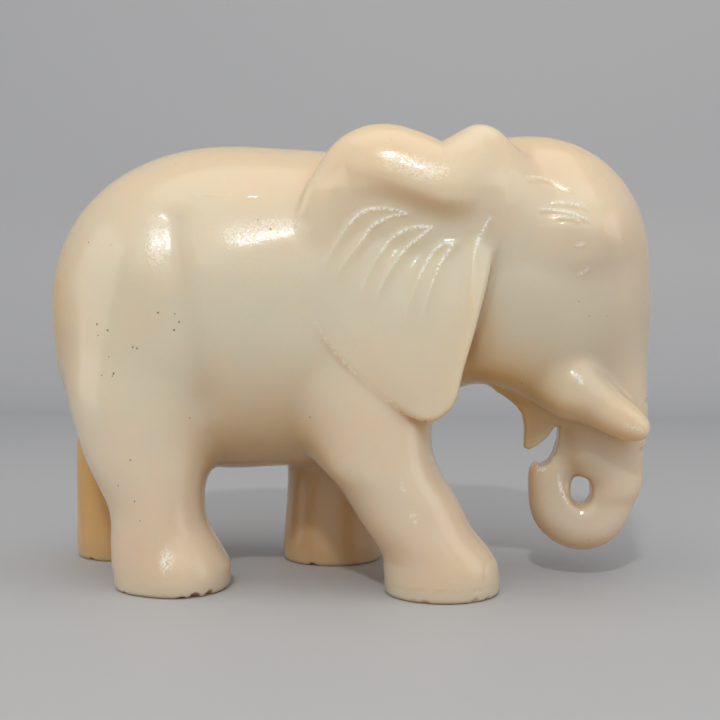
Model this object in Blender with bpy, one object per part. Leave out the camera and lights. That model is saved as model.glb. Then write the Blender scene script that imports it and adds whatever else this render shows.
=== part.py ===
"""A small walking elephant carved from one block of pale jade.

The whole animal is one solid. Its shape is a field: a function of a point in
space that is negative inside the stone, zero on its skin and about the distance
to the skin elsewhere. Simple forms (balls, pillars and rods) are joined by soft
blends where flesh runs into flesh and by tight ones where the carver left a
crease, then hollows are cut out of them, as they are from a block.

All tables are in carver's units: a two-hundredth of the length each, +X towards
the trunk, +Y to the animal's left, +Z up, with the soles at zero. The legs are
carved a little too long, and the soles are then sawn flat by a Boolean cut.
"""

from concurrent.futures import ThreadPoolExecutor

import bmesh
import bpy
import numpy as np

# Driving dimensions, in metres.
LENGTH = 0.200
UNIT = LENGTH / 200

# The mesh, in carver's units and triangles.
GRID_STEP = 1.4
COARSE_RATIO = 2
NEAR_SKIN = 5.5
LEAST_DEPTH = 0.02
TRIANGLES = 9200
BLOCK_LOW = (-112.0, -50.4, -7.0)
BLOCK_HIGH = (110.0, 50.4, 154.0)

# The stone's colour, in linear light.
JADE_COLOUR = (0.68, 0.57, 0.41, 1.0)
JADE_ROUGHNESS = 0.3

# Balls: centre, radii. A fullness of 2 is an ellipsoid, and more is boxier.
FULLNESS = 2.15
BARREL = ((-38, 0, 90.1), (61.8, 41.5, 54.3))
CHEST = ((4, 0, 90), (41, 37, 48.5))
SEAT = ((-62, 0, 70), (33, 30, 24))
SKULL = ((60, 0, 102.6), (40.3, 31.8, 44))
CHEEK = ((57, -13, 84), (22, 17, 22))
EAR_ROOT = ((24, -18, 112), (27, 13, 21))
BROW = ((70.5, -12.5, 113.5), (20, 17.5, 16))
TEMPLE = ((49, -22, 122), (14, 12, 17.5))
TUSK_SLEEVE = ((73.6, -18.8, 64.4), (8.4, 9.2, 8.8))

# Thighs and shoulders: centre, radii, lean in degrees.
HAUNCHES = (
    ((-64, -17.5, 68), (21, 20.5, 34), 0),
    ((-68, 17.5, 66), (21, 20.5, 33), 0),
    ((10, -16, 74), (20, 20.5, 32), -14),
    ((2, 16, 74), (20, 20.5, 32), 6),
)

# Legs, top to sole: height, centre x and y, half-width along x and y.
# Right legs are at -Y: the right foreleg reaches forward, the left one is back.
RIGHT_HIND_LEG = (
    (88, -66, -14, 9, 8),
    (74, -66, -18, 17, 15),
    (60, -65.5, -21, 20.5, 18.6),
    (42, -62.6, -23.5, 19.4, 18.2),
    (26, -58.8, -24.8, 15.4, 16.6),
    (15, -56.8, -25, 16.7, 16.8),
    (8.5, -54.6, -25, 18.8, 17.4),
    (4, -54.2, -25, 18.6, 17.4),
    (-6, -54.8, -25, 17, 17),
)
LEFT_HIND_LEG = (
    (88, -70, 14, 9, 8),
    (74, -72.5, 18, 16, 15),
    (60, -77.2, 21, 18.5, 18),
    (42, -83.4, 23.5, 17.2, 17.5),
    (25, -85.2, 24.8, 16.3, 16.4),
    (14, -85.2, 25, 16.3, 16.6),
    (6, -84.8, 25, 16.9, 17.2),
    (-6, -84.4, 25, 16.5, 16.8),
)
RIGHT_FORE_LEG = (
    (88, 6, -14, 9, 8),
    (74, 8, -18, 17, 15),
    (60, 11, -21, 20.8, 18.8),
    (42, 14.3, -23, 20.2, 18.6),
    (32, 19.8, -24.2, 18.3, 17.6),
    (22, 25, -25, 17, 17),
    (13, 31.4, -25, 17.6, 17.2),
    (7, 33.2, -25, 18.3, 17.6),
    (-6, 33.4, -25, 17.7, 17.2),
)
LEFT_FORE_LEG = (
    (88, 1, 14, 9, 8),
    (74, 0, 18, 17, 15),
    (60, -1, 21, 19.5, 18.5),
    (42, -4, 23.5, 19, 18),
    (25, -6.5, 24.8, 17.2, 17),
    (14, -7.5, 25, 17, 17),
    (4, -7.5, 25, 17.8, 17.6),
    (-6, -7, 25, 17.2, 17),
)
HIND_TOES = ((-49.5, -27, 3.6), (13.4, 16.4, 16.6))
LEGS = (RIGHT_HIND_LEG, LEFT_HIND_LEG, RIGHT_FORE_LEG, LEFT_FORE_LEG)
LEG_TOP = 86

# The hanging trunk, top to bottom, as the legs are given.
TRUNK = (
    (104, 76, 0, 18, 17),
    (92, 77.5, 0, 20.6, 19),
    (80, 79.6, 0, 20.2, 18),
    (68, 82, 0, 18.4, 15.6),
    (56, 84.2, 0, 16.5, 13.4),
    (48, 85.5, 0, 14.9, 11.8),
    (42, 84.6, 0, 14.9, 10.4),
    (36, 87, 0, 12, 9),
    (30, 89.4, 0, 8.5, 8),
    (20, 87, 0, 8, 7.5),
)
TRUNK_TOP = 104
TRUNK_END = 27

# Rods: points of the centre line, each with its radius.
TRUNK_CURL = (
    (89.8, 0, 33, 8.3),
    (87.4, 0, 24.6, 8.3),
    (82.8, 0, 19.4, 9.0),
    (77, 0, 18.6, 8.8),
    (71.3, 0, 22.8, 8.6),
    (69.3, 0, 31, 7.8),
    (69.6, 0, 37, 7.7),
    (70.4, 0, 44, 7.6),
)
TUSK = (
    (64, -11, 71, 9),
    (71, -15.2, 66.6, 8.4),
    (79, -17.2, 61.8, 7.4),
    (85.5, -17.6, 57.6, 6.7),
    (91.5, -17.4, 54, 5.8),
    (94.4, -17.2, 52.4, 4.7),
)
TAIL = (
    (-87, 3, 124, 2.4),
    (-95.8, 7, 112, 3.1),
    (-98.4, 10.5, 97, 3.3),
    (-98.2, 12.3, 82, 3.0),
    (-95.4, 13, 68, 3.6),
    (-93.4, 12.8, 58, 1.8),
)
EAR_ROLL = (
    (-4.6, -33, 115, 4.6),
    (-2, -32, 122, 6.6),
    (2.5, -30.6, 127.5, 9.2),
    (8, -28, 131.2, 13.2),
    (14, -26.8, 131, 16.6),
    (21, -27.2, 128.8, 17),
    (28, -28.2, 126.2, 16.4),
    (34, -28.8, 125.8, 15.2),
    (39.5, -28.2, 131, 12.6),
    (44.8, -25.8, 138, 9.2),
)
EAR_ROLL_FLATNESS = 0.78
EAR_SCOOP = (
    (2, -45, 123.5, 5),
    (8, -43.6, 121.4, 6.6),
    (14, -43, 119.8, 7.4),
    (24, -43, 116.2, 7.5),
    (31, -43, 113.6, 7.5),
    (38, -43, 113, 7.2),
    (46, -43.8, 115.6, 6.2),
    (53, -45, 119, 5),
)

# The ear's outline seen from the side, as x and z, once round.
EAR_OUTLINE = (
    (3.5, 136.5),
    (-5.5, 129.5),
    (-10, 118),
    (-10.3, 106),
    (-8.5, 94),
    (-3, 81.5),
    (7, 70),
    (17, 61.5),
    (25, 56.3),
    (32, 56),
    (37.6, 61.5),
    (40.4, 72),
    (44.4, 86),
    (48.3, 102),
    (50.2, 118),
    (51.5, 130),
    (48, 139),
    (40, 138),
    (30, 135),
    (16, 138),
)
EAR_THICKNESS = 10.0
EAR_FACE = 38.3
EAR_FLARE = 2.9
EAR_FRONT_DIP = 3.0
EAR_REAR_DIP = 1.6
EAR_REAR_EDGE_DIP = 0.9
EAR_TOP_LEAN = 9.0
# Hollows of its face: x and z of the middle, reach along each, and depth.
EAR_HOLLOWS = (((30, 118), (25, 18), 5.2), ((47, 121), (8, 10), 2.2))

# The folds of the ear: x, z and half-width of each, from its tip down.
EAR_FOLDS = (
    (
        (22.5, 119, 0),
        (16.5, 119, 1.5),
        (10.5, 117, 2.6),
        (6.3, 112, 3),
        (2.4, 106, 2.6),
        (-0.8, 100, 2.4),
        (-2.5, 94, 2.4),
    ),
    (
        (30.3, 114.9, 0),
        (25.5, 113, 1.8),
        (20.5, 110, 2.6),
        (17, 105.5, 2.7),
        (13.8, 99.5, 2.6),
        (11.3, 93, 2.5),
        (9.8, 87, 2.5),
    ),
    (
        (36.9, 109.8, 0),
        (34, 108, 1.5),
        (31.2, 104.5, 1.9),
        (28.8, 99, 2.2),
        (26.6, 92.5, 2.4),
        (25, 86, 2.4),
        (24.2, 80, 2.4),
    ),
)
EAR_FRONT_RIDGE = (
    (48.6, 118.5, 0),
    (45.6, 113.1, 0),
    (43.3, 106.5, 0),
    (42.8, 99, 0),
    (42.9, 87.4, 0),
    (41.5, 76, 0),
)
FOLD_HEIGHT = 1.5
FOLD_SCOOP = 0.42
FOLD_FLANK = 1.2
FOLD_SKIRT = 4.0
RIDGE_HEIGHT = 1.2
RIDGE_FLANK = 2.4

# The ear is worked out on a flat lattice of x and z and read from there.
LATTICE_STEP = 0.5
LATTICE_X = np.arange(-30, 66, LATTICE_STEP, dtype=np.float32)
LATTICE_Z = np.arange(44, 156, LATTICE_STEP, dtype=np.float32)

# The lower lip and the slot under it, as x and z, once round. The lip is thinned
# towards its tip, and the slot runs right across and trims the trunk's tip too.
LIP_OUTLINE = (
    (50, 70),
    (51.5, 63.6),
    (54.5, 61),
    (57.3, 58.2),
    (59.2, 55),
    (60, 51),
    (60.2, 47),
    (60.3, 43.8),
    (61.4, 42.9),
    (64.4, 44.7),
    (67.6, 47.7),
    (70, 51),
    (75, 56),
    (76, 72),
)
LIP_TIP_HEIGHT = 42.9
LIP_TIP_WIDTH = 1.6
LIP_SPREAD = 0.55
SLOT_OUTLINE = (
    (55, 43.6),
    (60.2, 43.3),
    (61.6, 42.9),
    (64.4, 44.7),
    (67.6, 47.7),
    (69.8, 51),
    (71.3, 51.1),
    (71.1, 46.1),
    (69.7, 41.6),
    (68.2, 39),
    (66.8, 38.2),
    (65.3, 37.5),
    (64, 38.6),
    (62.7, 37.9),
    (60.8, 36.9),
    (55, 35.6),
)

# How far the fillet of each join reaches: soft where flesh runs into flesh, tight at a crease.
CHEST_JOIN = 12
SEAT_JOIN = 8
HAUNCH_JOIN = 9
LEG_JOIN = 7.5
TOES_JOIN = 4
HEAD_JOIN = 12
CHEEK_JOIN = 10
BROW_JOIN = 7
TRUNK_JOIN = 7
EAR_ROOT_JOIN = 8
TEMPLE_JOIN = 7
ARCH_EDGE = 12
CURL_JOIN = 3
CURL_HOLE_EDGE = 1.4
SLOT_EDGE = 0.9
LIP_JOIN = 5
SLEEVE_JOIN = 6.5
TUSK_JOIN = 4.5
TAIL_JOIN = 3
EAR_CREASE = 1.8
EAR_SOFTENING = 4.5
EAR_RIM = 2.6
EAR_ROLL_JOIN = 5
EAR_SCOOP_EDGE = 5
LEG_END_EDGE = 1

# How far the legs run on below the soles, until the saw cut takes it off.
SPARE_LEG = 2.8
SAW_CUT_DEPTH = 20

# Hollows: radius, and centre as x and z, of a bore that runs right across.
THROAT_ARCH = (14.0, 47.0, 48.8)
CURL_HOLE = (3.35, 78.8, 29.6)
CURL_HOLE_STRETCH = 1.34
CURL_HOLE_FULLNESS = 2.5

# Broad swellings and dips of the body's sides: x and z of the centre, reach along
# each, and height. Then long soft ones: x and z along the line.
BODY_SWELLINGS = (
    ((-64, 104), (13, 17), 2.4),
    ((-33, 95), (14, 18), 1.0),
)
FLANK_CREST = ((-46, 102), (-36, 106.4), (-26, 109.6), (-14, 112.6), (-2, 115))
HIP_VALLEY = ((-50.5, 124), (-50, 114), (-47.5, 101), (-44, 85), (-41.5, 68), (-39, 52))
CREST_HEIGHT, CREST_WIDTH = 0.4, 7.0
VALLEY_DEPTH, VALLEY_WIDTH = 1.1, 5.0


# ---------------------------------------------------------------- forms


def vector(values):
    return np.array(values, np.float32)


def norm(offsets):
    return np.sqrt(np.einsum("ij,ij->i", offsets, offsets))


def curve(stations, steps):
    """Points of a smooth curve (Catmull-Rom) through the stations, ends included."""
    rows = np.array(stations, float)
    padded = np.vstack([2 * rows[0] - rows[1], rows, 2 * rows[-1] - rows[-2]])
    t = np.linspace(0, 1, steps, endpoint=False)[:, None]
    spans = [catmull_rom(padded[i : i + 4], t) for i in range(len(rows) - 1)]
    return np.vstack(spans + [rows[-1:]]).astype(np.float32)


def closed_curve(points, steps):
    """Points of a smooth closed curve (Catmull-Rom) through the given points."""
    rows = np.array(points, float)
    t = np.linspace(0, 1, steps, endpoint=False)[:, None]
    four = [np.roll(rows, -i, axis=0)[:4] for i in range(len(rows))]
    return np.vstack([catmull_rom(rows_of_span, t) for rows_of_span in four])


def catmull_rom(four, t):
    a, b, c, d = four
    linear = (c - a) * t
    square = (2 * a - 5 * b + 4 * c - d) * t**2
    cube = (3 * b - a - 3 * c + d) * t**3
    return 0.5 * (2 * b + linear + square + cube)


def ramp(start, end, values):
    """0 before start, 1 after end, and a smooth S between."""
    t = np.clip((values - start) / (end - start), 0, 1)
    return t * t * (3 - 2 * t)


def soften(distance, radius):
    """The distance, with its sharp zero rounded over the radius."""
    return np.sqrt(distance**2 + radius**2) - radius


def blend(a, b, reach):
    """Joins two fields, with a fillet where they are within reach of each other."""
    share = np.clip(0.5 + 0.5 * (b - a) / reach, 0, 1)
    return b + (a - b) * share - reach * share * (1 - share)


def cut(stone, hollow, reach):
    """Takes the hollow out of the stone, with its edge rounded over reach."""
    return -blend(-stone, hollow, reach)


def ball(points, form, fullness=2.0, lean=0.0):
    """A ball squashed to the form's radii, boxier when fullness is over 2.

    An ellipsoid's field is its size times how far it is past 1, over its slope. A
    boxier ball has no such formula, so nine tenths of its least radius stands in.
    """
    centre, radii = form
    offset = points - vector(centre)
    if lean:
        c, s = np.cos(np.radians(lean)), np.sin(np.radians(lean))
        turned_x = c * offset[:, 0] + s * offset[:, 2]
        offset[:, 2] = c * offset[:, 2] - s * offset[:, 0]
        offset[:, 0] = turned_x
    scaled = offset / vector(radii)
    if fullness != 2.0:
        reach = (np.abs(scaled) ** fullness).sum(axis=1) ** (1 / fullness)
        return (reach - 1) * 0.9 * min(radii)
    size = norm(scaled)
    slope = norm(scaled / vector(radii))
    return size * (size - 1) / np.maximum(slope, 1e-6)


def pillar(points, levels, top, end=None):
    """An upright limb: at each height an ellipse, read from a curve through the levels.

    The factor just under 1 keeps the field from outrunning the distance on a slope.
    """
    rows = curve(levels, 8)
    rows = rows[np.argsort(rows[:, 0])]
    height = points[:, 2]
    x, y, half_x, half_y = (np.interp(height, rows[:, 0], rows[:, i]) for i in (1, 2, 3, 4))
    reach = np.hypot((points[:, 0] - x) / half_x, (points[:, 1] - y) / half_y)
    field = (reach - 1) * np.minimum(half_x, half_y) * 0.93
    field = cut(field, top - height, 6)
    if end is not None:
        field = cut(field, height - end, 4)
    return field.astype(np.float32)


def rod(points, stations, steps=8, flatness=1.0):
    """A round rod along a curve through the stations, thinned in y by flatness."""
    rows = curve(stations, steps)
    squash = vector((1, flatness, 1))
    points = points / squash
    nearest = np.full(len(points), 1e6, np.float32)
    for start, end in zip(rows[:-1], rows[1:]):
        first = start[:3] / squash
        along = end[:3] / squash - first
        from_first = points - first
        share = np.clip(from_first @ along / max(along @ along, 1e-9), 0, 1)
        radius = start[3] + share * (end[3] - start[3])
        distance = norm(from_first - share[:, None] * along) - radius
        np.minimum(nearest, distance, out=nearest)
    return nearest * flatness


def bore(points, radius, x, z, stretch=1.0, fullness=2.0):
    """A hole right across the animal, stretched upwards, and boxier than round when
    its fullness is over 2."""
    across, up = np.abs(points[:, 0] - x), np.abs(points[:, 2] - z) / stretch
    return (across**fullness + up**fullness) ** (1 / fullness) - radius


def prism(points, outline, half_width):
    """A straight-sided block with the outline of a side view, between two flanks."""
    side = outline_distance(points[:, 0], points[:, 2], np.array(outline, float))
    return cut(side, half_width - np.abs(points[:, 1]), 1.5)


def within(points, form, low, high, far=30.0):
    """The form's field inside a box, and a lower bound of it outside, to save work."""
    gap = np.maximum(vector(low) - points, points - vector(high))
    field = norm(np.maximum(gap, 0)) + far
    near = gap.max(axis=1) <= 0
    if near.any():
        field[near] = form(points[near])
    return field


# ---------------------------------------------------------------- the ear


def flat_rod(x, z, stations, steps=8):
    """Distance to a flat tapering band, and how far along it the nearest point is."""
    rows = curve(stations, steps)
    nearest = np.full(x.shape, 1e6, np.float32)
    along = np.zeros(x.shape, np.float32)
    for i, (start, end) in enumerate(zip(rows[:-1], rows[1:])):
        step_x, step_z = end[:2] - start[:2]
        share = ((x - start[0]) * step_x + (z - start[1]) * step_z) / (step_x**2 + step_z**2)
        share = np.clip(share, 0, 1)
        gap = np.hypot(x - start[0] - share * step_x, z - start[1] - share * step_z)
        distance = gap - (start[2] + share * (end[2] - start[2]))
        closer = distance < nearest
        nearest[closer] = distance[closer]
        along[closer] = (i + share[closer]) / (len(rows) - 1)
    return nearest, along


def outline_distance(x, z, loop):
    """Signed distance to a closed outline, negative inside."""
    nearest = np.full(x.shape, 1e6)
    inside = np.zeros(x.shape, bool)
    for start, end in zip(loop, np.roll(loop, -1, axis=0)):
        step_x, step_z = end - start
        share = ((x - start[0]) * step_x + (z - start[1]) * step_z) / (step_x**2 + step_z**2)
        share = np.clip(share, 0, 1)
        gap = np.hypot(x - start[0] - share * step_x, z - start[1] - share * step_z)
        nearest = np.minimum(nearest, gap)
        spans = (start[1] > z) != (end[1] > z)
        if spans.any():
            inside ^= spans & (x < step_x * (z - start[1]) / (step_z or 1e-9) + start[0])
    return np.where(inside, -nearest, nearest).astype(np.float32)


def ear_tables():
    """The ear's outline distance, and how far its face stands out from the middle."""
    x, z = np.meshgrid(LATTICE_X, LATTICE_Z, indexing="ij")
    outline = outline_distance(x, z, closed_curve(EAR_OUTLINE, 8))
    face = EAR_FACE + EAR_FLARE * ramp(116, 66, z)
    face -= EAR_FRONT_DIP * ramp(43.5, 51, x) * ramp(124, 112, z)
    face -= EAR_REAR_DIP * ramp(-2, -11, x) * ramp(96, 116, z)
    face -= EAR_REAR_EDGE_DIP * ramp(-10, 0, outline) * ramp(34, 22, x - 0.35 * (z - 60))
    for middle, reach, sunk in EAR_HOLLOWS:
        face -= sunk * np.exp(-(((x - middle[0]) / reach[0]) ** 2) - ((z - middle[1]) / reach[1]) ** 2)
    face -= EAR_TOP_LEAN * ramp(126, 138, z)
    for fold in EAR_FOLDS:
        distance, along = flat_rod(x, z, fold)
        rounded = soften(distance, 0.35)
        falls_away = 0.6 * np.exp(-rounded / FOLD_FLANK) + 0.4 * np.exp(-rounded / FOLD_SKIRT)
        scooped = 1 - FOLD_SCOOP * (1 - np.exp(-rounded))
        shape = np.where(distance > 0, falls_away, scooped)
        face += FOLD_HEIGHT * shape * (1 - ramp(0.42, 1, along))
    distance, along = flat_rod(x, z, EAR_FRONT_RIDGE)
    fade = ramp(0, 0.06, along) * (1 - ramp(0.55, 1, along))
    face += RIDGE_HEIGHT * np.exp(-soften(distance, 0.4) / RIDGE_FLANK) * fade
    return outline, face.astype(np.float32)


def read_lattice(table, x, z):
    """The table's value between its lattice points."""
    column = np.clip((x - LATTICE_X[0]) / LATTICE_STEP, 0, len(LATTICE_X) - 1.001)
    row = np.clip((z - LATTICE_Z[0]) / LATTICE_STEP, 0, len(LATTICE_Z) - 1.001)
    i, j = column.astype(int), row.astype(int)
    u, v = column - i, row - j
    low = table[i, j] * (1 - u) + table[i + 1, j] * u
    high = table[i, j + 1] * (1 - u) + table[i + 1, j + 1] * u
    return (low * (1 - v) + high * v).astype(np.float32)


def ear(points, outline, face):
    """The right ear: a thick sheet that hangs from a roll along its top."""
    x, z, out = points[:, 0], points[:, 2], -points[:, 1]
    front = read_lattice(face, x, z)
    sheet = cut(out - front, -read_lattice(outline, x, z), EAR_RIM)
    sheet = cut(sheet, out - front + EAR_THICKNESS, EAR_RIM)
    rolled = cut(rod(points, EAR_ROLL, 6, EAR_ROLL_FLATNESS), rod(points, EAR_SCOOP, 5), EAR_SCOOP_EDGE)
    return blend(sheet * 0.92, rolled, EAR_ROLL_JOIN)


# ---------------------------------------------------------------- the animal


def bell(x, z, stations, width):
    """1 along a line of the side view, falling to 0 over the width as a bell does."""
    distance, along = flat_rod(x, z, [(*place, 0) for place in stations], 5)
    fade = ramp(0, 0.15, along) * (1 - ramp(0.85, 1, along))
    return np.exp(-((distance / width) ** 2)) * fade


def body_relief(points):
    """Broad swellings of the hips and the flank, and the dip between them."""
    x, z = points[:, 0], points[:, 2]
    height = np.zeros(len(points), np.float32)
    for centre, reach, swelling in BODY_SWELLINGS:
        square = ((x - centre[0]) / reach[0]) ** 2 + ((z - centre[1]) / reach[1]) ** 2
        height += swelling * np.exp(-square)
    height += CREST_HEIGHT * bell(x, z, FLANK_CREST, CREST_WIDTH)
    height -= VALLEY_DEPTH * bell(x, z, HIP_VALLEY, VALLEY_WIDTH)
    return height * ramp(8, 26, np.abs(points[:, 1]))


def body(points):
    """Barrel, chest, haunches and the four legs, cut off flat by the soles later."""
    field = blend(ball(points, BARREL, FULLNESS), ball(points, CHEST, FULLNESS), CHEST_JOIN)
    field = blend(field, ball(points, SEAT), SEAT_JOIN)
    for centre, radii, lean in HAUNCHES:
        field = blend(field, ball(points, (centre, radii), lean=lean), HAUNCH_JOIN)
    for leg in LEGS:
        field = blend(field, pillar(points, leg, LEG_TOP), LEG_JOIN)
    field = blend(field, ball(points, HIND_TOES), TOES_JOIN)
    return field - body_relief(points)


def skull(points, mirrored):
    """The head with its cheeks, down to where the hanging trunk ends."""
    field = ball(points, SKULL, FULLNESS)
    field = blend(field, ball(mirrored, CHEEK), CHEEK_JOIN)
    field = blend(field, ball(mirrored, BROW), BROW_JOIN)
    trunk = within(
        points, lambda p: pillar(p, TRUNK, TRUNK_TOP, TRUNK_END), (48, -36, 10), (112, 36, 132)
    )
    return blend(field, trunk, TRUNK_JOIN)


def lower_lip(points):
    """The lip's block, thinned towards its tip."""
    return prism(points, LIP_OUTLINE, LIP_TIP_WIDTH + LIP_SPREAD * (points[:, 2] - LIP_TIP_HEIGHT))


def elephant(points, ear_shape):
    """The field of the whole animal. Paired forms are made once, on the right side."""
    points = points.astype(np.float32)
    mirrored = points.copy()
    mirrored[:, 1] = -np.abs(points[:, 1])
    field = blend(body(points), skull(points, mirrored), HEAD_JOIN)
    field = blend(field, ball(mirrored, EAR_ROOT), EAR_ROOT_JOIN)
    field = blend(field, ball(mirrored, TEMPLE), TEMPLE_JOIN)
    field = cut(field, bore(points, *THROAT_ARCH), ARCH_EDGE)
    curl = within(points, lambda p: rod(p, TRUNK_CURL, flatness=0.86), (50, -24, 0), (112, 24, 60))
    field = blend(field, curl, CURL_JOIN)
    field = blend(field, within(points, lower_lip, (38, -24, 30), (90, 24, 88)), LIP_JOIN)
    slot = within(points, lambda p: prism(p, SLOT_OUTLINE, 90.0), (46, -50, 28), (80, 50, 60))
    field = cut(field, slot, SLOT_EDGE)
    field = blend(field, ball(mirrored, TUSK_SLEEVE), SLEEVE_JOIN)
    tusk = within(mirrored, lambda p: rod(p, TUSK), (46, -34, 40), (108, 4, 90))
    field = blend(field, tusk, TUSK_JOIN)
    field = cut(field, bore(points, *CURL_HOLE, CURL_HOLE_STRETCH, CURL_HOLE_FULLNESS), CURL_HOLE_EDGE)
    tail = within(points, lambda p: rod(p, TAIL), (-118, -8, 44), (-78, 32, 136))
    field = blend(field, tail, TAIL_JOIN)
    right_ear = within(mirrored, lambda p: ear(p, *ear_shape), (-26, -60, 48), (64, -12, 156))
    over_the_temple = ramp(106, 124, points[:, 2]) * ramp(36, 50, points[:, 0])
    field = blend(field, right_ear, EAR_CREASE + EAR_SOFTENING * over_the_temple)
    return cut(field, points[:, 2] + SPARE_LEG, LEG_END_EDGE)


# ---------------------------------------------------------------- from field to mesh


def sample(field_of, low, high, step, ratio):
    """The field on a grid, worked out exactly only near the skin.

    A grid `ratio` times coarser is worked out first. Fine points far from the
    skin take the value of their nearest coarse point, because only its sign counts.
    """
    coarse = step * ratio
    counts = [int(np.ceil((b - a) / coarse)) + 1 for a, b in zip(low, high)]
    axes = [a + coarse * np.arange(n) for a, n in zip(low, counts)]
    corners = np.stack(np.meshgrid(*axes, indexing="ij"), -1).reshape(-1, 3)
    rough = field_of(corners).reshape(counts)
    fine = [np.minimum((np.arange((n - 1) * ratio + 1) + ratio // 2) // ratio, n - 1) for n in counts]
    values = rough[np.ix_(*fine)]
    near = np.abs(values) < NEAR_SKIN
    places = np.array(low) + np.argwhere(near) * step
    parts = np.array_split(places, len(places) // 100000 + 1)
    with ThreadPoolExecutor() as pool:
        values[near] = np.concatenate(list(pool.map(field_of, parts)))
    return values


def untangle(values):
    """Moves the skin past a grid point wherever two diagonal corners of a grid square
    are inside and the other two are not, because the net would meet itself there."""
    for _ in range(20):
        tangled = 0
        for side, up in ((0, 1), (1, 2), (0, 2)):
            size = [n - (axis in (side, up)) for axis, n in enumerate(values.shape)]
            squares = []
            for i, j in ((0, 0), (1, 0), (1, 1), (0, 1)):
                start = [i * (axis == side) + j * (axis == up) for axis in range(3)]
                squares.append(values[tuple(slice(a, a + n) for a, n in zip(start, size))])
            a, b, c, d = (square < 0 for square in squares)
            place = np.argwhere((a == c) & (b == d) & (a != b))
            if not len(place):
                continue
            tangled += len(place)
            four = np.stack([square[tuple(place.T)] for square in squares])
            nearest = np.abs(four).argmin(axis=0)
            place[:, side] += np.isin(nearest, (1, 2))
            place[:, up] += np.isin(nearest, (2, 3))
            place = np.unique(place, axis=0)
            old = values[tuple(place.T)]
            values[tuple(place.T)] = np.where(old < 0, LEAST_DEPTH, -LEAST_DEPTH)
        if not tangled:
            return
    raise RuntimeError("the skin still meets itself")


def surface_net(values, low, step):
    """Vertices and quads of the skin: one vertex in each cell that the skin crosses.

    The vertex is the mean of the points where the skin crosses the cell's edges.
    Each grid edge with one end inside gives the quad of the four cells round it.
    """
    inside = values < 0
    cells = tuple(n - 1 for n in values.shape)
    count = np.zeros(cells, np.int8)
    corner_steps = [(i, j, k) for i in (0, 1) for j in (0, 1) for k in (0, 1)]
    for i, j, k in corner_steps:
        count += inside[i : cells[0] + i, j : cells[1] + j, k : cells[2] + k]
    crossed = (count > 0) & (count < 8)
    cell = np.argwhere(crossed)
    index = np.full(cells, -1)
    index[crossed] = np.arange(len(cell))
    total = np.zeros((len(cell), 3))
    hits = np.zeros(len(cell))
    quads = []
    for axis in range(3):
        side, up = (axis + 1) % 3, (axis + 2) % 3
        for i, j in ((0, 0), (1, 0), (0, 1), (1, 1)):
            start = cell.copy()
            start[:, side] += i
            start[:, up] += j
            end = start.copy()
            end[:, axis] += 1
            a, b = values[tuple(start.T)], values[tuple(end.T)]
            met = (a < 0) != (b < 0)
            place = start[met].astype(float)
            place[:, axis] += a[met] / (a[met] - b[met])
            total[met] += place
            hits[met] += 1
        first = np.take(inside, range(cells[axis]), axis)
        second = np.take(inside, range(1, cells[axis] + 1), axis)
        edge = np.argwhere(first != second)
        ring = []
        for i, j in ((-1, -1), (0, -1), (0, 0), (-1, 0)):
            around = edge.copy()
            around[:, side] += i
            around[:, up] += j
            ring.append(index[tuple(around.T)])
        quad = np.stack(ring, -1)
        outwards = first[tuple(edge.T)]
        quad[~outwards] = quad[~outwards][:, ::-1]
        quads.append(quad)
    return np.array(low) + step * total / hits[:, None], np.vstack(quads)


# ---------------------------------------------------------------- Blender


def clear_scene():
    for thing in list(bpy.data.objects):
        bpy.data.objects.remove(thing, do_unlink=True)


def jade_material():
    material = bpy.data.materials.new("jade")
    material.use_nodes = True
    shader = material.node_tree.nodes["Principled BSDF"]
    shader.inputs["Base Color"].default_value = JADE_COLOUR
    shader.inputs["Roughness"].default_value = JADE_ROUGHNESS
    shader.inputs["Metallic"].default_value = 0.0
    return material


def carved_mesh():
    """The elephant's mesh in metres, with the middle of its box over the origin."""
    ear_shape = ear_tables()
    values = sample(
        lambda points: elephant(points, ear_shape), BLOCK_LOW, BLOCK_HIGH, GRID_STEP, COARSE_RATIO
    )
    untangle(values)
    points, quads = surface_net(values, BLOCK_LOW, GRID_STEP)
    low, high = points.min(axis=0), points.max(axis=0)
    points[:, :2] -= (low[:2] + high[:2]) / 2
    mesh = bpy.data.meshes.new("elephant")
    mesh.from_pydata((points * UNIT).tolist(), [], quads.tolist())
    mesh.update()
    return mesh


def saw_cut():
    """A hidden block whose top face is the plane of the soles."""
    low = np.array((BLOCK_LOW[0], BLOCK_LOW[1], -SAW_CUT_DEPTH)) * UNIT
    high = np.array((BLOCK_HIGH[0], BLOCK_HIGH[1], 0)) * UNIT
    shape = bmesh.new()
    bmesh.ops.create_cube(shape, size=1)
    bmesh.ops.scale(shape, vec=high - low, verts=shape.verts)
    bmesh.ops.translate(shape, vec=(low + high) / 2, verts=shape.verts)
    mesh = bpy.data.meshes.new("saw_cut")
    shape.to_mesh(mesh)
    shape.free()
    block = bpy.data.objects.new("saw_cut", mesh)
    bpy.context.scene.collection.objects.link(block)
    block.hide_render = True
    block.display_type = "WIRE"
    return block


def main():
    clear_scene()
    elephant_object = bpy.data.objects.new("elephant", carved_mesh())
    bpy.context.scene.collection.objects.link(elephant_object)
    elephant_object.data.materials.append(jade_material())
    faces = len(elephant_object.data.polygons)
    thinned = elephant_object.modifiers.new("fewer facets", "DECIMATE")
    thinned.ratio = TRIANGLES / (2 * faces)
    soles = elephant_object.modifiers.new("sawn soles", "BOOLEAN")
    soles.operation = "DIFFERENCE"
    soles.object = saw_cut()
    elephant_object.data.shade_smooth()


main()
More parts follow.
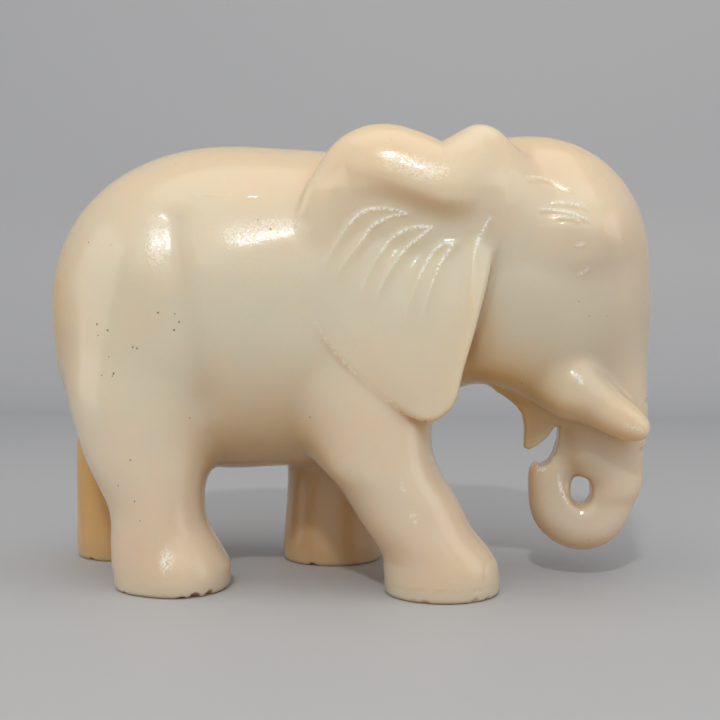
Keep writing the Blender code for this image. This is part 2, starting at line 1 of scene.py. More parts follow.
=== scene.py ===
"""The looks of a small walking elephant carved from one block of pale jade.

The carving is one body of stone whose limbs, ears and folds melt into each other, so
its skin can't be laid out on a grid of two parameters. It is worked out as a field
instead: a function of a point in space that is negative inside the stone, zero on its
skin and about the distance to the skin elsewhere. Forms (balls, pillars, rods and the
ear) are joined by soft blends, hollows are cut out, and the fine carving raises or
sinks the skin a little. A net is laid over the skin, thinned and settled onto it.

All tables are in carver's units: a two-hundredth of the length each, +X towards the
trunk, +Y to the animal's left, +Z up, with the soles at zero.
"""

from collections import namedtuple
from concurrent.futures import ThreadPoolExecutor

import bpy
import numpy as np
from bpy.props import FloatProperty, FloatVectorProperty, IntProperty, PointerProperty
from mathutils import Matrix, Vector


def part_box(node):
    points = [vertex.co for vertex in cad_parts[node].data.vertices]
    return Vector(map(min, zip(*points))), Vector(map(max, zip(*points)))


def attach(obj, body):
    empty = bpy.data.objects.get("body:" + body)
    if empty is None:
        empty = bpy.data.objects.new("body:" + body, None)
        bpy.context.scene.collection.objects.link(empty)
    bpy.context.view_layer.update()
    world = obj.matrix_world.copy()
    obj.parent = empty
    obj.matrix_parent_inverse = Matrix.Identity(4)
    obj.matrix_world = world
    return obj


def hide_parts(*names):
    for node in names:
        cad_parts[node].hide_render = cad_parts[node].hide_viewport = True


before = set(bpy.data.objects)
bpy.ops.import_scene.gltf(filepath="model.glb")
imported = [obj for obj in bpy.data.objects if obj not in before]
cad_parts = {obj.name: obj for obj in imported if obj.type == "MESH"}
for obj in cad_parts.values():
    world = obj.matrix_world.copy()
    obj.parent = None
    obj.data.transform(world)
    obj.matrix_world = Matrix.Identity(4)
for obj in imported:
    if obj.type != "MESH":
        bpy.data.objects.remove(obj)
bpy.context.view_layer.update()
NODE = "elephant"
CAD_LOW, CAD_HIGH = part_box(NODE)

bl_info = {
    "name": "Jade Elephant",
    "version": (1, 0, 0),
    "blender": (4, 5, 0),
    "location": "View3D > Sidebar > Jade Elephant",
    "description": "Carves and polishes a small jade elephant and sets its studio",
    "category": "Object",
}

# ---------------------------------------------------------------- the animal's tables

# The length of the carving over rump and trunk, and the x of its middle.
CARVED_LENGTH = 202.77
CARVED_MIDDLE = -0.39

# Balls: centre, radii. A fullness of 2 is an ellipsoid, and more is boxier.
FULLNESS = 2.15
BARREL = ((-38, 0, 90.1), (61.8, 41.5, 54.3))
CHEST = ((4, 0, 90), (41, 37, 48.5))
SEAT = ((-62, 0, 70), (33, 30, 24))
SKULL = ((60, 0, 102.6), (40.3, 31.8, 44))
CHEEK = ((57, -13, 84), (22, 17, 22))
BROW = ((70.5, -12.5, 113.5), (20, 17.5, 16))
EAR_ROOT = ((24, -18, 112), (27, 13, 21))
TEMPLE = ((49, -22, 122), (14, 12, 17.5))
TUSK_SLEEVE = ((73.6, -18.8, 64.4), (8.4, 9.2, 8.8))

# Thighs and shoulders: centre, radii, lean in degrees.
HAUNCHES = (
    ((-64, -17.5, 68), (21, 20.5, 34), 0),
    ((-68, 17.5, 66), (21, 20.5, 33), 0),
    ((10, -16, 74), (20, 20.5, 32), -14),
    ((2, 16, 74), (20, 20.5, 32), 6),
)

# Legs, top to sole: height, centre x and y, half-width along x and y.
# Right legs are at -Y: the right foreleg reaches forward, the left one is back.
RIGHT_HIND_LEG = (
    (88, -66, -14, 9, 8), (74, -66, -18, 17, 15), (60, -65.5, -21, 20.5, 18.6),
    (42, -62.6, -23.5, 19.4, 18.2), (26, -58.8, -24.8, 15.4, 16.6),
    (15, -56.8, -25, 16.7, 16.8), (8.5, -54.6, -25, 18.8, 17.4), (4, -54.2, -25, 18.6, 17.4),
    (-6, -54.8, -25, 17, 17),
)
LEFT_HIND_LEG = (
    (88, -70, 14, 9, 8), (74, -72.5, 18, 16, 15), (60, -77.2, 21, 18.5, 18),
    (42, -83.4, 23.5, 17.2, 17.5), (25, -85.2, 24.8, 16.3, 16.4), (14, -85.2, 25, 16.3, 16.6),
    (6, -84.8, 25, 16.9, 17.2), (-6, -84.4, 25, 16.5, 16.8),
)
RIGHT_FORE_LEG = (
    (88, 6, -14, 9, 8), (74, 8, -18, 17, 15), (60, 11, -21, 20.8, 18.8),
    (42, 14.3, -23, 20.2, 18.6), (32, 19.8, -24.2, 18.3, 17.6), (22, 25, -25, 17, 17),
    (13, 31.4, -25, 17.6, 17.2), (7, 33.2, -25, 18.3, 17.6), (-6, 33.4, -25, 17.7, 17.2),
)
LEFT_FORE_LEG = (
    (88, 1, 14, 9, 8), (74, 0, 18, 17, 15), (60, -1, 21, 19.5, 18.5), (42, -4, 23.5, 19, 18),
    (25, -6.5, 24.8, 17.2, 17), (14, -7.5, 25, 17, 17), (4, -7.5, 25, 17.8, 17.6),
    (-6, -7, 25, 17.2, 17),
)
HIND_TOES = ((-49.5, -27, 3.6), (13.4, 16.4, 16.6))
LEGS = (RIGHT_HIND_LEG, LEFT_HIND_LEG, RIGHT_FORE_LEG, LEFT_FORE_LEG)
LEG_TOP = 86

# The hanging trunk, top to bottom, as the legs are given.
TRUNK = (
    (104, 76, 0, 18, 17), (92, 77.5, 0, 20.6, 19), (80, 79.6, 0, 20.2, 18),
    (68, 82, 0, 18.4, 15.6), (56, 84.2, 0, 16.5, 13.4), (48, 85.5, 0, 14.9, 11.8),
    (42, 84.6, 0, 14.9, 10.4), (36, 87, 0, 12, 9), (30, 89.4, 0, 8.5, 8), (20, 87, 0, 8, 7.5),
)
TRUNK_TOP = 104
TRUNK_END = 27
# Two corners of the box that the head and the trunk lie in.
HEAD_BOX = ((18, -33, 25), (104, 33, 148))

# Rods: points of the centre line, each with its radius.
TRUNK_CURL = (
    (89.8, 0, 33, 8.3), (87.4, 0, 24.6, 8.3), (82.8, 0, 19.4, 9.0), (77, 0, 18.6, 8.8),
    (71.3, 0, 22.8, 8.6), (69.3, 0, 31, 7.8), (69.6, 0, 37, 7.7), (70.4, 0, 44, 7.6),
)
CURL_FLATNESS = 0.86
TUSK = (
    (64, -11, 71, 9), (71, -15.2, 66.6, 8.4), (79, -17.2, 61.8, 7.4), (85.5, -17.6, 57.6, 6.7),
    (91.5, -17.4, 54, 5.8), (94.4, -17.2, 52.4, 4.7),
)
TAIL = (
    (-87, 3, 124, 2.4), (-95.8, 7, 112, 3.1), (-98.4, 10.5, 97, 3.3), (-98.2, 12.3, 82, 3.0),
    (-95.4, 13, 68, 3.6), (-93.4, 12.8, 58, 1.8),
)
EAR_ROLL = (
    (-4.6, -33, 115, 4.6), (-2, -32, 122, 6.6), (2.5, -30.6, 127.5, 9.2), (8, -28, 131.2, 13.2),
    (14, -26.8, 131, 16.6), (21, -27.2, 128.8, 17), (28, -28.2, 126.2, 16.4),
    (34, -28.8, 125.8, 15.2), (39.5, -28.2, 131, 12.6), (44.8, -25.8, 138, 9.2),
)
EAR_ROLL_FLATNESS = 0.78
EAR_SCOOP = (
    (2, -45, 123.5, 5), (8, -43.6, 121.4, 6.6), (14, -43, 119.8, 7.4), (24, -43, 116.2, 7.5),
    (31, -43, 113.6, 7.5), (38, -43, 113, 7.2), (46, -43.8, 115.6, 6.2), (53, -45, 119, 5),
)

# The ear's outline seen from the side, as x and z, once round.
EAR_OUTLINE = (
    (3.5, 136.5), (-5.5, 129.5), (-10, 118), (-10.3, 106), (-8.5, 94), (-3, 81.5), (7, 70),
    (17, 61.5), (25, 56.3), (32, 56), (37.6, 61.5), (40.4, 72), (44.4, 86), (48.3, 102),
    (50.2, 118), (51.5, 130), (48, 139), (40, 138), (30, 135), (16, 138),
)
# Two corners of the box that the right ear lies in.
EAR_BOX = ((-14, -46, 53), (55, -22, 149))
EAR_THICKNESS = 10.0
# How far its face stands out from the middle, and how far parts of it stand out or dip.
EAR_FACE = 38.3
EAR_FLARE = 2.9
EAR_FRONT_DIP = 3.0
EAR_REAR_DIP = 1.6
EAR_REAR_EDGE_DIP = 0.9
EAR_TOP_LEAN = 9.0
# Hollows of its face: x and z of the middle, reach along each, and depth.
EAR_HOLLOWS = (((30, 118), (25, 18), 5.2), ((47, 121), (8, 10), 2.2))

# The folds of the ear: x, z and half-width of each, from its tip down.
EAR_FOLDS = (
    (
        (22.5, 119, 0), (16.5, 119, 1.5), (10.5, 117, 2.6), (6.3, 112, 3), (2.4, 106, 2.6),
        (-0.8, 100, 2.4), (-2.5, 94, 2.4),
    ),
    (
        (30.3, 114.9, 0), (25.5, 113, 1.8), (20.5, 110, 2.6), (17, 105.5, 2.7),
        (13.8, 99.5, 2.6), (11.3, 93, 2.5), (9.8, 87, 2.5),
    ),
    (
        (36.9, 109.8, 0), (34, 108, 1.5), (31.2, 104.5, 1.9), (28.8, 99, 2.2),
        (26.6, 92.5, 2.4), (25, 86, 2.4), (24.2, 80, 2.4),
    ),
)
EAR_FRONT_RIDGE = (
    (48.6, 118.5, 0), (45.6, 113.1, 0), (43.3, 106.5, 0), (42.8, 99, 0), (42.9, 87.4, 0),
    (41.5, 76, 0),
)
FOLD_FLANK = 1.2
FOLD_SKIRT = 4.0
RIDGE_FLANK = 2.4

# The ear is worked out on a flat lattice of x and z and read from there.
LATTICE_STEP = 0.3
LATTICE_X = np.arange(-30, 66, LATTICE_STEP, dtype=np.float32)
LATTICE_Z = np.arange(44, 156, LATTICE_STEP, dtype=np.float32)

# The lower lip and the slot under it, as x and z, once round. The lip is thinned
# towards its tip, and the slot runs right across and trims the trunk's tip too.
LIP_OUTLINE = (
    (50, 70), (51.5, 63.6), (54.5, 61), (57.3, 58.2), (59.2, 55), (60, 51), (60.2, 47),
    (60.3, 43.8), (61.4, 42.9), (64.4, 44.7), (67.6, 47.7), (70, 51), (75, 56), (76, 72),
)
LIP_TIP_HEIGHT = 42.9
LIP_TIP_WIDTH = 1.6
LIP_SPREAD = 0.55
SLOT_OUTLINE = (
    (55, 43.6), (60.2, 43.3), (61.6, 42.9), (64.4, 44.7), (67.6, 47.7), (69.8, 51),
    (71.3, 51.1), (71.1, 46.1), (69.7, 41.6), (68.2, 39), (66.8, 38.2), (65.3, 37.5),
    (64, 38.6), (62.7, 37.9), (60.8, 36.9), (55, 35.6),
)

# Hollows: radius, and centre as x and z, of a bore that runs right across.
THROAT_ARCH = (14.0, 47.0, 48.8)
CURL_HOLE = (3.35, 78.8, 29.6)
CURL_HOLE_STRETCH = 1.34
CURL_HOLE_FULLNESS = 2.3
# The thinner web beside the hole of the curl: x, z and half-width.
CURL_WEB = (
    (75.6, 37.4, 2.4), (75.2, 34.4, 2.8), (75.6, 31, 2.8), (76.8, 28.2, 2.8), (78.4, 26.8, 2.4),
)

# How far the fillet of each join reaches, and how far each edge is rounded.
FIRST_JOIN = 1
CHEST_JOIN = 12
SEAT_JOIN = 8
HAUNCH_JOIN = 9
LEG_JOIN = 7.5
TOES_JOIN = 4
HEAD_JOIN = 12
CHEEK_JOIN = 10
BROW_JOIN = 7
TRUNK_JOIN = 7
EAR_ROOT_JOIN = 8
TEMPLE_JOIN = 7
ARCH_EDGE = 12
CURL_JOIN = 3
CURL_HOLE_EDGE = 1.4
SLOT_EDGE = 0.9
LIP_JOIN = 5
SLEEVE_JOIN = 6.5
TUSK_JOIN = 4.5
TAIL_JOIN = 3
EAR_CREASE = 1.8
EAR_SOFTENING = 4.5
EAR_REACH = 11
EAR_RIM = 2.6
EAR_ROLL_JOIN = 5
EAR_SCOOP_EDGE = 5
SOLE_EDGE = 1.6
LIMB_TOP_EDGE = 6
LIMB_END_EDGE = 4
PRISM_EDGE = 1.5

# Fine carving on the side of the head, as x and z, the same on both sides.
UPPER_LID = ((73.6, 108.8), (75.4, 109.4), (77.2, 109.8))
LOWER_LID = ((74.4, 100.2), (76.6, 101), (78.8, 102.4))
EYE_CENTRE = (76.2, 105)
EYE_REACH = (5.6, 3.6)
EYE_HOLLOW_REACH = 3.5**0.5 * np.array(EYE_REACH)
# A swelling: middle as x and z, reach along each, and height.
CHEEK_BONE = ((83, 114), (9, 11), 1.8)
BROW_STROKES = (
    ((58, 130.6), (64, 130.4), (69, 128.6), (74, 125.8)),
    ((66, 122.6), (70, 122.6), (74, 122), (78, 121)),
    ((62, 120.2), (66, 120.4), (71, 119.8), (75, 118.4), (79, 116.6)),
    ((68, 118.2), (72, 118), (76, 116.6)),
)
# How far below each brow stroke its shadow line is sunk.
BROW_SHADOW_DROP = 1.5
# The knob at the root of each tusk: middle as x and z, and reach along each.
TUSK_KNOB = ((75.4, 68.4), (2.6, 3.2))
# Strokes of painted highlight, where an edge glints: x and z along each, and strength.
HIGHLIGHT_STROKES = (
    (((71.2, 35.4), (71.7, 32), (72.9, 28.4), (75.2, 24.9)), 0.75),
    (((63.2, 38), (65, 37), (67.2, 37.2)), 0.8),
    (((74, 70.6), (75.4, 68.8), (76.6, 66.6)), 1),
    (((89.6, 54), (93, 53), (97, 51.2)), 0.4),
)
# Small patches of painted, stippled highlight: x and z, reach along each, and strength.
HIGHLIGHT_PATCHES = (
    ((-51.4, 11.6), (1.5, 2.8), 0.9),
    ((25.4, 26.4), (1.2, 1.6), 0.35),
    ((22, 36), (0.9, 1.8), 0.3),
    ((-54.3, 110.5), (3.6, 7), 0.4),
    ((-28, 112.6), (6, 2.8), 0.4),
    ((-16.5, 115.4), (7, 2.6), 0.4),
    ((21.5, 134.2), (6, 2.7), 0.42),
    ((29.5, 131.4), (6, 2.7), 0.42),
)
# The half-width of a stroke of painted highlight, and how strong the painted highlight is
# along the ear's rear edge and on the strokes of the brow and the lids.
HIGHLIGHT_STROKE_WIDTH = 0.42
EAR_EDGE_HIGHLIGHT = 0.3
STROKE_HIGHLIGHT = 0.45
# Heights of the cuts across the front of the trunk.
TRUNK_CUTS = (113.6, 73.9, 59.7, 43.7)

# Swellings of the body's sides, then lines along which they are raised or sunk.
BODY_SWELLINGS = (((-64, 104), (13, 17), 2.4), ((-33, 95), (14, 18), 1.0))
FLANK_CREST = ((-46, 102), (-36, 106.4), (-26, 109.6), (-14, 112.6), (-2, 115))
HIP_VALLEY = ((-50.5, 124), (-50, 114), (-47.5, 101), (-44, 85), (-41.5, 68), (-39, 52))
BACK_LINE = ((-46, 125.6), (-40, 125.5), (-30, 125.3), (-20, 125.2))
FORE_FOOT_LINE = ((17, 3.6), (26, 3.9), (38, 3.9), (50, 3.6))
FORE_FOOT_MARK = ((47.2, 12), (47, 9), (47, 5.5))
# Chips out of the rims of the soles: centre and radius.
CHIPS = (
    ((-43.2, -40.2, 0.2), 1.7),
    ((-39.6, -36.6, 0.4), 1.5),
    ((-46.8, -41.6, -0.4), 1.4),
    ((28.6, -42.2, -0.5), 1.6),
    ((24.8, -41.2, -0.3), 1.3),
    ((44.6, -39.4, 0.1), 1.5),
    ((48.4, -35.4, -0.2), 1.4),
    ((-66.4, -37.8, -0.5), 1.2),
    ((-12.6, 9.2, -0.1), 1.4),
    ((-92.4, 10.6, -0.2), 1.3),
    ((6.4, 37.2, -0.2), 1.4),
    ((-72.5, 37.5, -0.2), 1.4),
)
CHIP_EDGE = 0.6

# Soft zones of colour: centre and reach of each. Amber ones and those of the far feet lie
# on the side given, and the others on both.
PEACH_ZONES = (
    ((22, -36, 134), 20),
    ((-40, 0, 146), 34),
    ((-100, -14, 92), 32),
    ((62, -6, 143), 20),
    ((30, -34, 8), 15),
    ((-56, -34, 8), 15),
    ((90, -20, 56), 12),
)
COOL_ZONES = (
    ((63, -8, 30), 11),
    ((16, -40, 98), 22),
    ((-26, -42, 84), 26),
    ((72, -8, 26), 14),
    ((60, -30, 92), 14),
    ((-60, -38, 66), 18),
)
# These zones are painted shade with a warm glow: on the far hind leg, under the jaw and at the rear of the
# rump.
AMBER_SHADE_ZONES = (((-93, 22, 30), 31), ((51, -12, 63), 19), ((-112, -4, 88), 25))
# These zones are partly a duller tone of the stone and partly painted shade, on the face, the trunk and
# its curl.
GREY_TONE_AND_SHADE_ZONES = (
    ((70, -8, 26), 12),
    ((62, -30, 86), 18),
    ((88, -12, 84), 19),
    ((84, -10, 44), 11),
    ((80, -20, 105), 10),
)
# Painted shade on the far feet, laid on with the duller tone, and how strongly.
FAR_FEET_SHADE = (((-6, 14, -2), 19), ((-88, 14, -2), 19))
FAR_FEET_SHADE_STRENGTH = 1.7

# Small dark pits in the stone: x, z and radius, on the right side.
PITS = (
    (-53.6, 88.6, 0.32), (-48.4, 88.3, 0.26), (-47.1, 85.8, 0.3), (-48.7, 83.3, 0.36),
    (-74.4, 85, 0.3), (-70.4, 83.2, 0.36), (-73.9, 81.5, 0.24), (-61.9, 78, 0.34),
    (-60.6, 77.6, 0.36), (-70.1, 74.9, 0.22), (-68.3, 69.7, 0.34), (-68.7, 68.9, 0.26),
    (-72.4, 69.1, 0.24), (-79.2, 111, 0.24), (-23.2, 117.3, 0.22), (-19.1, 114.4, 0.3),
    (-45.4, 55.6, 0.24), (-62.6, 43, 0.26), (-66.8, 34.8, 0.24), (-61.4, 30.1, 0.26),
    (-59.8, 24, 0.22), (28.8, 55.8, 0.28), (58.2, 66.5, 0.24), (-7.3, 56.2, 0.22),
)

# ---------------------------------------------------------------- forms

# The field far from all stone, and how far round a form's box it is worked out.
FAR = 40.0
MARGIN = 9.0
# Half-width of what runs right across the animal.
ACROSS = 90.0
# Keeps a field that isn't a true distance from outrunning it.
CAUTION = 0.93
Form = namedtuple("Form", "low high field")


def vector(values):
    """The values as single-precision numbers, which the field is worked out in."""
    return np.array(values, np.float32)


def norm(offsets):
    """The length of each offset."""
    return np.sqrt(np.einsum("ij,ij->i", offsets, offsets))


def to_right_side(points):
    """The points, with those on the left side mirrored to the right one."""
    mirrored = points.copy()
    mirrored[:, 1] = -np.abs(points[:, 1])
    return mirrored


def catmull_rom(four, t):
    """The Catmull-Rom curve between the middle two of four points."""
    a, b, c, d = four
    linear = (c - a) * t
    square = (2 * a - 5 * b + 4 * c - d) * t**2
    cube = (3 * b - a - 3 * c + d) * t**3
    return 0.5 * (2 * b + linear + square + cube)


def curve(stations, steps):
    """Points of a smooth curve (Catmull-Rom) through the stations, ends included."""
    rows = np.array(stations, float)
    padded = np.vstack([2 * rows[0] - rows[1], rows, 2 * rows[-1] - rows[-2]])
    t = np.linspace(0, 1, steps, endpoint=False)[:, None]
    spans = [catmull_rom(padded[i : i + 4], t) for i in range(len(rows) - 1)]
    return np.vstack(spans + [rows[-1:]]).astype(np.float32)


def closed_curve(points, steps):
    """Points of a smooth closed curve (Catmull-Rom) through the given points."""
    rows = np.array(points, float)
    t = np.linspace(0, 1, steps, endpoint=False)[:, None]
    four = [np.roll(rows, -i, axis=0)[:4] for i in range(len(rows))]
    return np.vstack([catmull_rom(rows_of_span, t) for rows_of_span in four])


def ramp(start, end, values):
    """0 before start, 1 after end, and a smooth S between."""
    t = np.clip((values - start) / (end - start), 0, 1)
    return t * t * (3 - 2 * t)


def bell(distance, reach):
    """1 at no distance, falling to a third at the reach and to nothing past twice it."""
    return np.exp(-((distance / reach) ** 2))


def mound(x, z, middle, reach):
    """A bell round a point of the side view, with one reach along x and one along z."""
    return np.exp(-(((x - middle[0]) / reach[0]) ** 2) - ((z - middle[1]) / reach[1]) ** 2)


def soften(distance, radius):
    """The distance, with its sharp zero rounded over the radius."""
    return np.sqrt(distance**2 + radius**2) - radius


def blend(a, b, reach):
    """Joins two fields, with a fillet where they are within reach of each other."""
    share = np.clip(0.5 + 0.5 * (b - a) / reach, 0, 1)
    return b + (a - b) * share - reach * share * (1 - share)


def cut(stone, hollow, reach):
    """Takes the hollow out of the stone, with its edge rounded over reach."""
    return -blend(-stone, hollow, reach)


def ball(centre, radii, fullness=2.0, lean=0.0):
    """A ball squashed to its radii, boxier when fullness is over 2.

    An ellipsoid's field is its size times how far it is past 1, over its slope. A
    boxier ball has no such formula, so nine tenths of its least radius stands in.
    """
    centre, radii = vector(centre), vector(radii)
    c, s = np.cos(np.radians(lean)), np.sin(np.radians(lean))
    turn = vector(((c, 0, -s), (0, 1, 0), (s, 0, c)))

    def field(points):
        scaled = (points - centre) @ turn / radii
        if fullness != 2.0:
            reach = (np.abs(scaled) ** fullness).sum(axis=1) ** (1 / fullness)
            return (reach - 1) * 0.9 * radii.min()
        size = norm(scaled)
        return size * (size - 1) / np.maximum(norm(scaled / radii), 1e-6)

    half = np.abs(turn) @ radii
    return Form(centre - half, centre + half, field)


def pillar(levels, top, end=None):
    """An upright limb: at each height an ellipse, read from a curve through the levels.

    It is cut off with a soft edge at its top, and at its lower end if one is given.
    """
    rows = curve(levels, 8)
    rows = rows[np.argsort(rows[:, 0])]
    low = vector((*(rows[:, 1:3] - rows[:, 3:5]).min(axis=0), rows[0, 0]))
    high = vector((*(rows[:, 1:3] + rows[:, 3:5]).max(axis=0), rows[-1, 0]))

    def field(points):
        height = points[:, 2]
        x, y, half_x, half_y = (np.interp(height, rows[:, 0], rows[:, i]) for i in (1, 2, 3, 4))
        reach = np.hypot((points[:, 0] - x) / half_x, (points[:, 1] - y) / half_y)
        limb = cut((reach - 1) * np.minimum(half_x, half_y) * CAUTION, top - height, LIMB_TOP_EDGE)
        return limb if end is None else cut(limb, height - end, LIMB_END_EDGE)

    return Form(low, high, field)


def rod(stations, steps=8, flatness=1.0):
    """A round rod along a curve through the stations, thinned in y by flatness."""
    rows = curve(stations, steps)
    squash = vector((1, flatness, 1))

    def field(points):
        scaled = points / squash
        nearest = np.full(len(points), FAR, np.float32)
        for start, end in zip(rows[:-1], rows[1:]):
            first = start[:3] / squash
            along = end[:3] / squash - first
            from_first = scaled - first
            share = np.clip(from_first @ along / max(along @ along, 1e-9), 0, 1)
            radius = start[3] + share * (end[3] - start[3])
            np.minimum(nearest, norm(from_first - share[:, None] * along) - radius, out=nearest)
        return nearest * flatness

    centres, radii = rows[:, :3], rows[:, 3:]
    return Form((centres - radii).min(axis=0), (centres + radii).max(axis=0), field)


def bore(radius, x, z, stretch=1.0, fullness=2.0):
    """A hole right across the animal, stretched upwards, and boxier than round when
    its fullness is over 2."""
    half = vector((radius, ACROSS, radius * stretch))
    centre = vector((x, 0, z))

    def field(points):
        across, up = np.abs(points[:, 0] - x), np.abs(points[:, 2] - z) / stretch
        return (across**fullness + up**fullness) ** (1 / fullness) - radius

    return Form(centre - half, centre + half, field)


def prism(outline, half_width):
    """A straight-sided block with the outline of a side view, between two flanks."""
    loop = np.array(outline, float)

    def field(points):
        side = outline_distance(points[:, 0], points[:, 2], loop)
        return cut(side, half_width(points[:, 2]) - np.abs(points[:, 1]), PRISM_EDGE)

    low, high = loop.min(axis=0), loop.max(axis=0)
    return Form(vector((low[0], -ACROSS, low[1])), vector((high[0], ACROSS, high[1])), field)


def near(points, form, reach=0):
    """Which points are near enough to the form's box for a join of this reach."""
    margin = max(MARGIN, 1.5 * reach)
    inside = (points > form.low - margin) & (points < form.high + margin)
    return np.flatnonzero(inside.all(axis=1))


def join(stone, points, form, reach, combine=blend):
    """Blends or otherwise combines the form with the stone, where it is near enough."""
    here = near(points, form, reach)
    if len(here):
        stone[here] = combine(stone[here], form.field(points[here]), reach)


def hollow(stone, points, form, reach):
    """Cuts the form out of the stone, where it is near enough."""
    join(stone, points, form, reach, cut)


# ---------------------------------------------------------------- the ear


def gap_to_line(x, z, start, end):
    """Distance to a straight line of the side view, and the nearest point's share of it."""
    step_x, step_z = end[0] - start[0], end[1] - start[1]
    share = ((x - start[0]) * step_x + (z - start[1]) * step_z) / (step_x**2 + step_z**2)
    share = np.clip(share, 0, 1)
    return np.hypot(x - start[0] - share * step_x, z - start[1] - share * step_z), share


def flat_rod(x, z, stations, steps=8):
    """Distance to a flat tapering band, and how far along it the nearest point is."""
    rows = curve(stations, steps)
    nearest = np.full(x.shape, 1e6, np.float32)
    along = np.zeros(x.shape, np.float32)
    for i, (start, end) in enumerate(zip(rows[:-1], rows[1:])):
        gap, share = gap_to_line(x, z, start, end)
        distance = gap - (start[2] + share * (end[2] - start[2]))
        closer = distance < nearest
        nearest[closer] = distance[closer]
        along[closer] = (i + share[closer]) / (len(rows) - 1)
    return nearest, along


def outline_distance(x, z, loop):
    """Signed distance to a closed outline, negative inside."""
    nearest = np.full(x.shape, 1e6)
    inside = np.zeros(x.shape, bool)
    for start, end in zip(loop, np.roll(loop, -1, axis=0)):
        nearest = np.minimum(nearest, gap_to_line(x, z, start, end)[0])
        spans = (start[1] > z) != (end[1] > z)
        if spans.any():
            lean = (end[0] - start[0]) / (end[1] - start[1])
            inside ^= spans & (x < start[0] + lean * (z - start[1]))
    return np.where(inside, -nearest, nearest).astype(np.float32)


def ear_tables(carving):
    """The ear's outline distance, and how far its face stands out from the middle.

    Each fold is a raised finger: highest along both its rims, scooped between them,
    with flanks that fall away outside as an exponential does, and it fades downwards.
    """
    x, z = np.meshgrid(LATTICE_X, LATTICE_Z, indexing="ij")
    outline = outline_distance(x, z, closed_curve(EAR_OUTLINE, 8))
    face = EAR_FACE + EAR_FLARE * ramp(116, 66, z)
    face -= EAR_FRONT_DIP * ramp(43.5, 51, x) * ramp(124, 112, z)
    face -= EAR_REAR_DIP * ramp(-2, -11, x) * ramp(96, 116, z)
    face -= EAR_REAR_EDGE_DIP * ramp(-10, 0, outline) * ramp(34, 22, x - 0.35 * (z - 60))
    for middle, reach, sunk in EAR_HOLLOWS:
        face -= sunk * mound(x, z, middle, reach)
    face -= EAR_TOP_LEAN * ramp(126, 138, z)
    for fold in EAR_FOLDS:
        distance, along = flat_rod(x, z, fold)
        rounded = soften(distance, 0.25)
        falls_away = 0.6 * np.exp(-rounded / FOLD_FLANK) + 0.4 * np.exp(-rounded / FOLD_SKIRT)
        scooped = 1 - carving.fold_scoop * (1 - np.exp(-rounded))
        shape = np.where(distance > 0, falls_away, scooped)
        face += carving.fold_height * shape * (1 - ramp(0.42, 1, along))
    distance, along = flat_rod(x, z, EAR_FRONT_RIDGE)
    fade = ramp(0, 0.06, along) * (1 - ramp(0.55, 1, along))
    face += carving.ridge_height * np.exp(-soften(distance, 0.4) / RIDGE_FLANK) * fade
    return outline, face.astype(np.float32)


def read_lattice(table, x, z):
    """The table's value between its lattice points."""
    column = np.clip((x - LATTICE_X[0]) / LATTICE_STEP, 0, len(LATTICE_X) - 1.001)
    row = np.clip((z - LATTICE_Z[0]) / LATTICE_STEP, 0, len(LATTICE_Z) - 1.001)
    i, j = column.astype(int), row.astype(int)
    u, v = column - i, row - j
    low = table[i, j] * (1 - u) + table[i + 1, j] * u
    high = table[i, j + 1] * (1 - u) + table[i + 1, j + 1] * u
    return (low * (1 - v) + high * v).astype(np.float32)


def ear(outline, face):
    """The right ear: a thick sheet that hangs from a roll along its top."""
    roll, scoop = rod(EAR_ROLL, 6, EAR_ROLL_FLATNESS), rod(EAR_SCOOP, 5)

    def field(points):
        x, z, out = points[:, 0], points[:, 2], -points[:, 1]
        front = read_lattice(face, x, z)
        sheet = cut(out - front, -read_lattice(outline, x, z), EAR_RIM)
        sheet = cut(sheet, out - front + EAR_THICKNESS, EAR_RIM)
        rolled = cut(roll.field(points), scoop.field(points), EAR_SCOOP_EDGE)
        return blend(sheet * 0.92, rolled, EAR_ROLL_JOIN)

    return Form(*vector(EAR_BOX), field)


# ---------------------------------------------------------------- fine carving


def groove(x, z, stations, width):
    """1 along a line of the side view, falling to 0 over the width as a bell does."""
    distance, along = flat_rod(x, z, [(*place, 0) for place in stations], 5)
    fade = ramp(0, 0.15, along) * (1 - ramp(0.85, 1, along))
    return bell(distance, width) * fade


def head_relief(points, carving):
    """How far the eyes, lids and brow strokes raise or sink the side of the head.

    The eye is a low mound in a broad hollow, with a short ridge for each lid.
    """
    x, z = points[:, 0], points[:, 2]
    eye = mound(x, z, EYE_CENTRE, EYE_REACH) - mound(x, z, EYE_CENTRE, EYE_HOLLOW_REACH)
    middle, reach, swelling = CHEEK_BONE
    height = 0.7 * carving.eye_depth * eye + swelling * mound(x, z, middle, reach)
    for lid in (UPPER_LID, LOWER_LID):
        height += 0.25 * carving.eye_depth * groove(x, z, lid, 0.7)
    for stroke in BROW_STROKES:
        raised, sunk = groove(x, z, stroke, 1.0), groove(x, z + BROW_SHADOW_DROP, stroke, 0.7)
        height += 0.5 * carving.wrinkle_depth * (raised - sunk)
    return height


def trunk_relief(points, carving):
    """Nicks across the front of the trunk, fading before they reach its sides."""
    front = ramp(7.5, 3, np.abs(points[:, 1]))
    height = np.zeros(len(points), np.float32)
    for level in TRUNK_CUTS:
        height -= bell(points[:, 2] - level, 0.8)
    return 1.6 * carving.wrinkle_depth * front * height


def body_relief(points, carving):
    """Broad swellings of the hips, the dip before them, and the line along the back."""
    x, z = points[:, 0], points[:, 2]
    height = np.zeros(len(points), np.float32)
    for middle, reach, swelling in BODY_SWELLINGS:
        height += swelling * mound(x, z, middle, reach)
    height += 0.4 * groove(x, z, FLANK_CREST, 7.0) - 1.1 * groove(x, z, HIP_VALLEY, 5.0)
    height *= carving.swelling * ramp(8, 26, np.abs(points[:, 1]))
    return height + 0.14 * groove(x, z, BACK_LINE, 0.6)


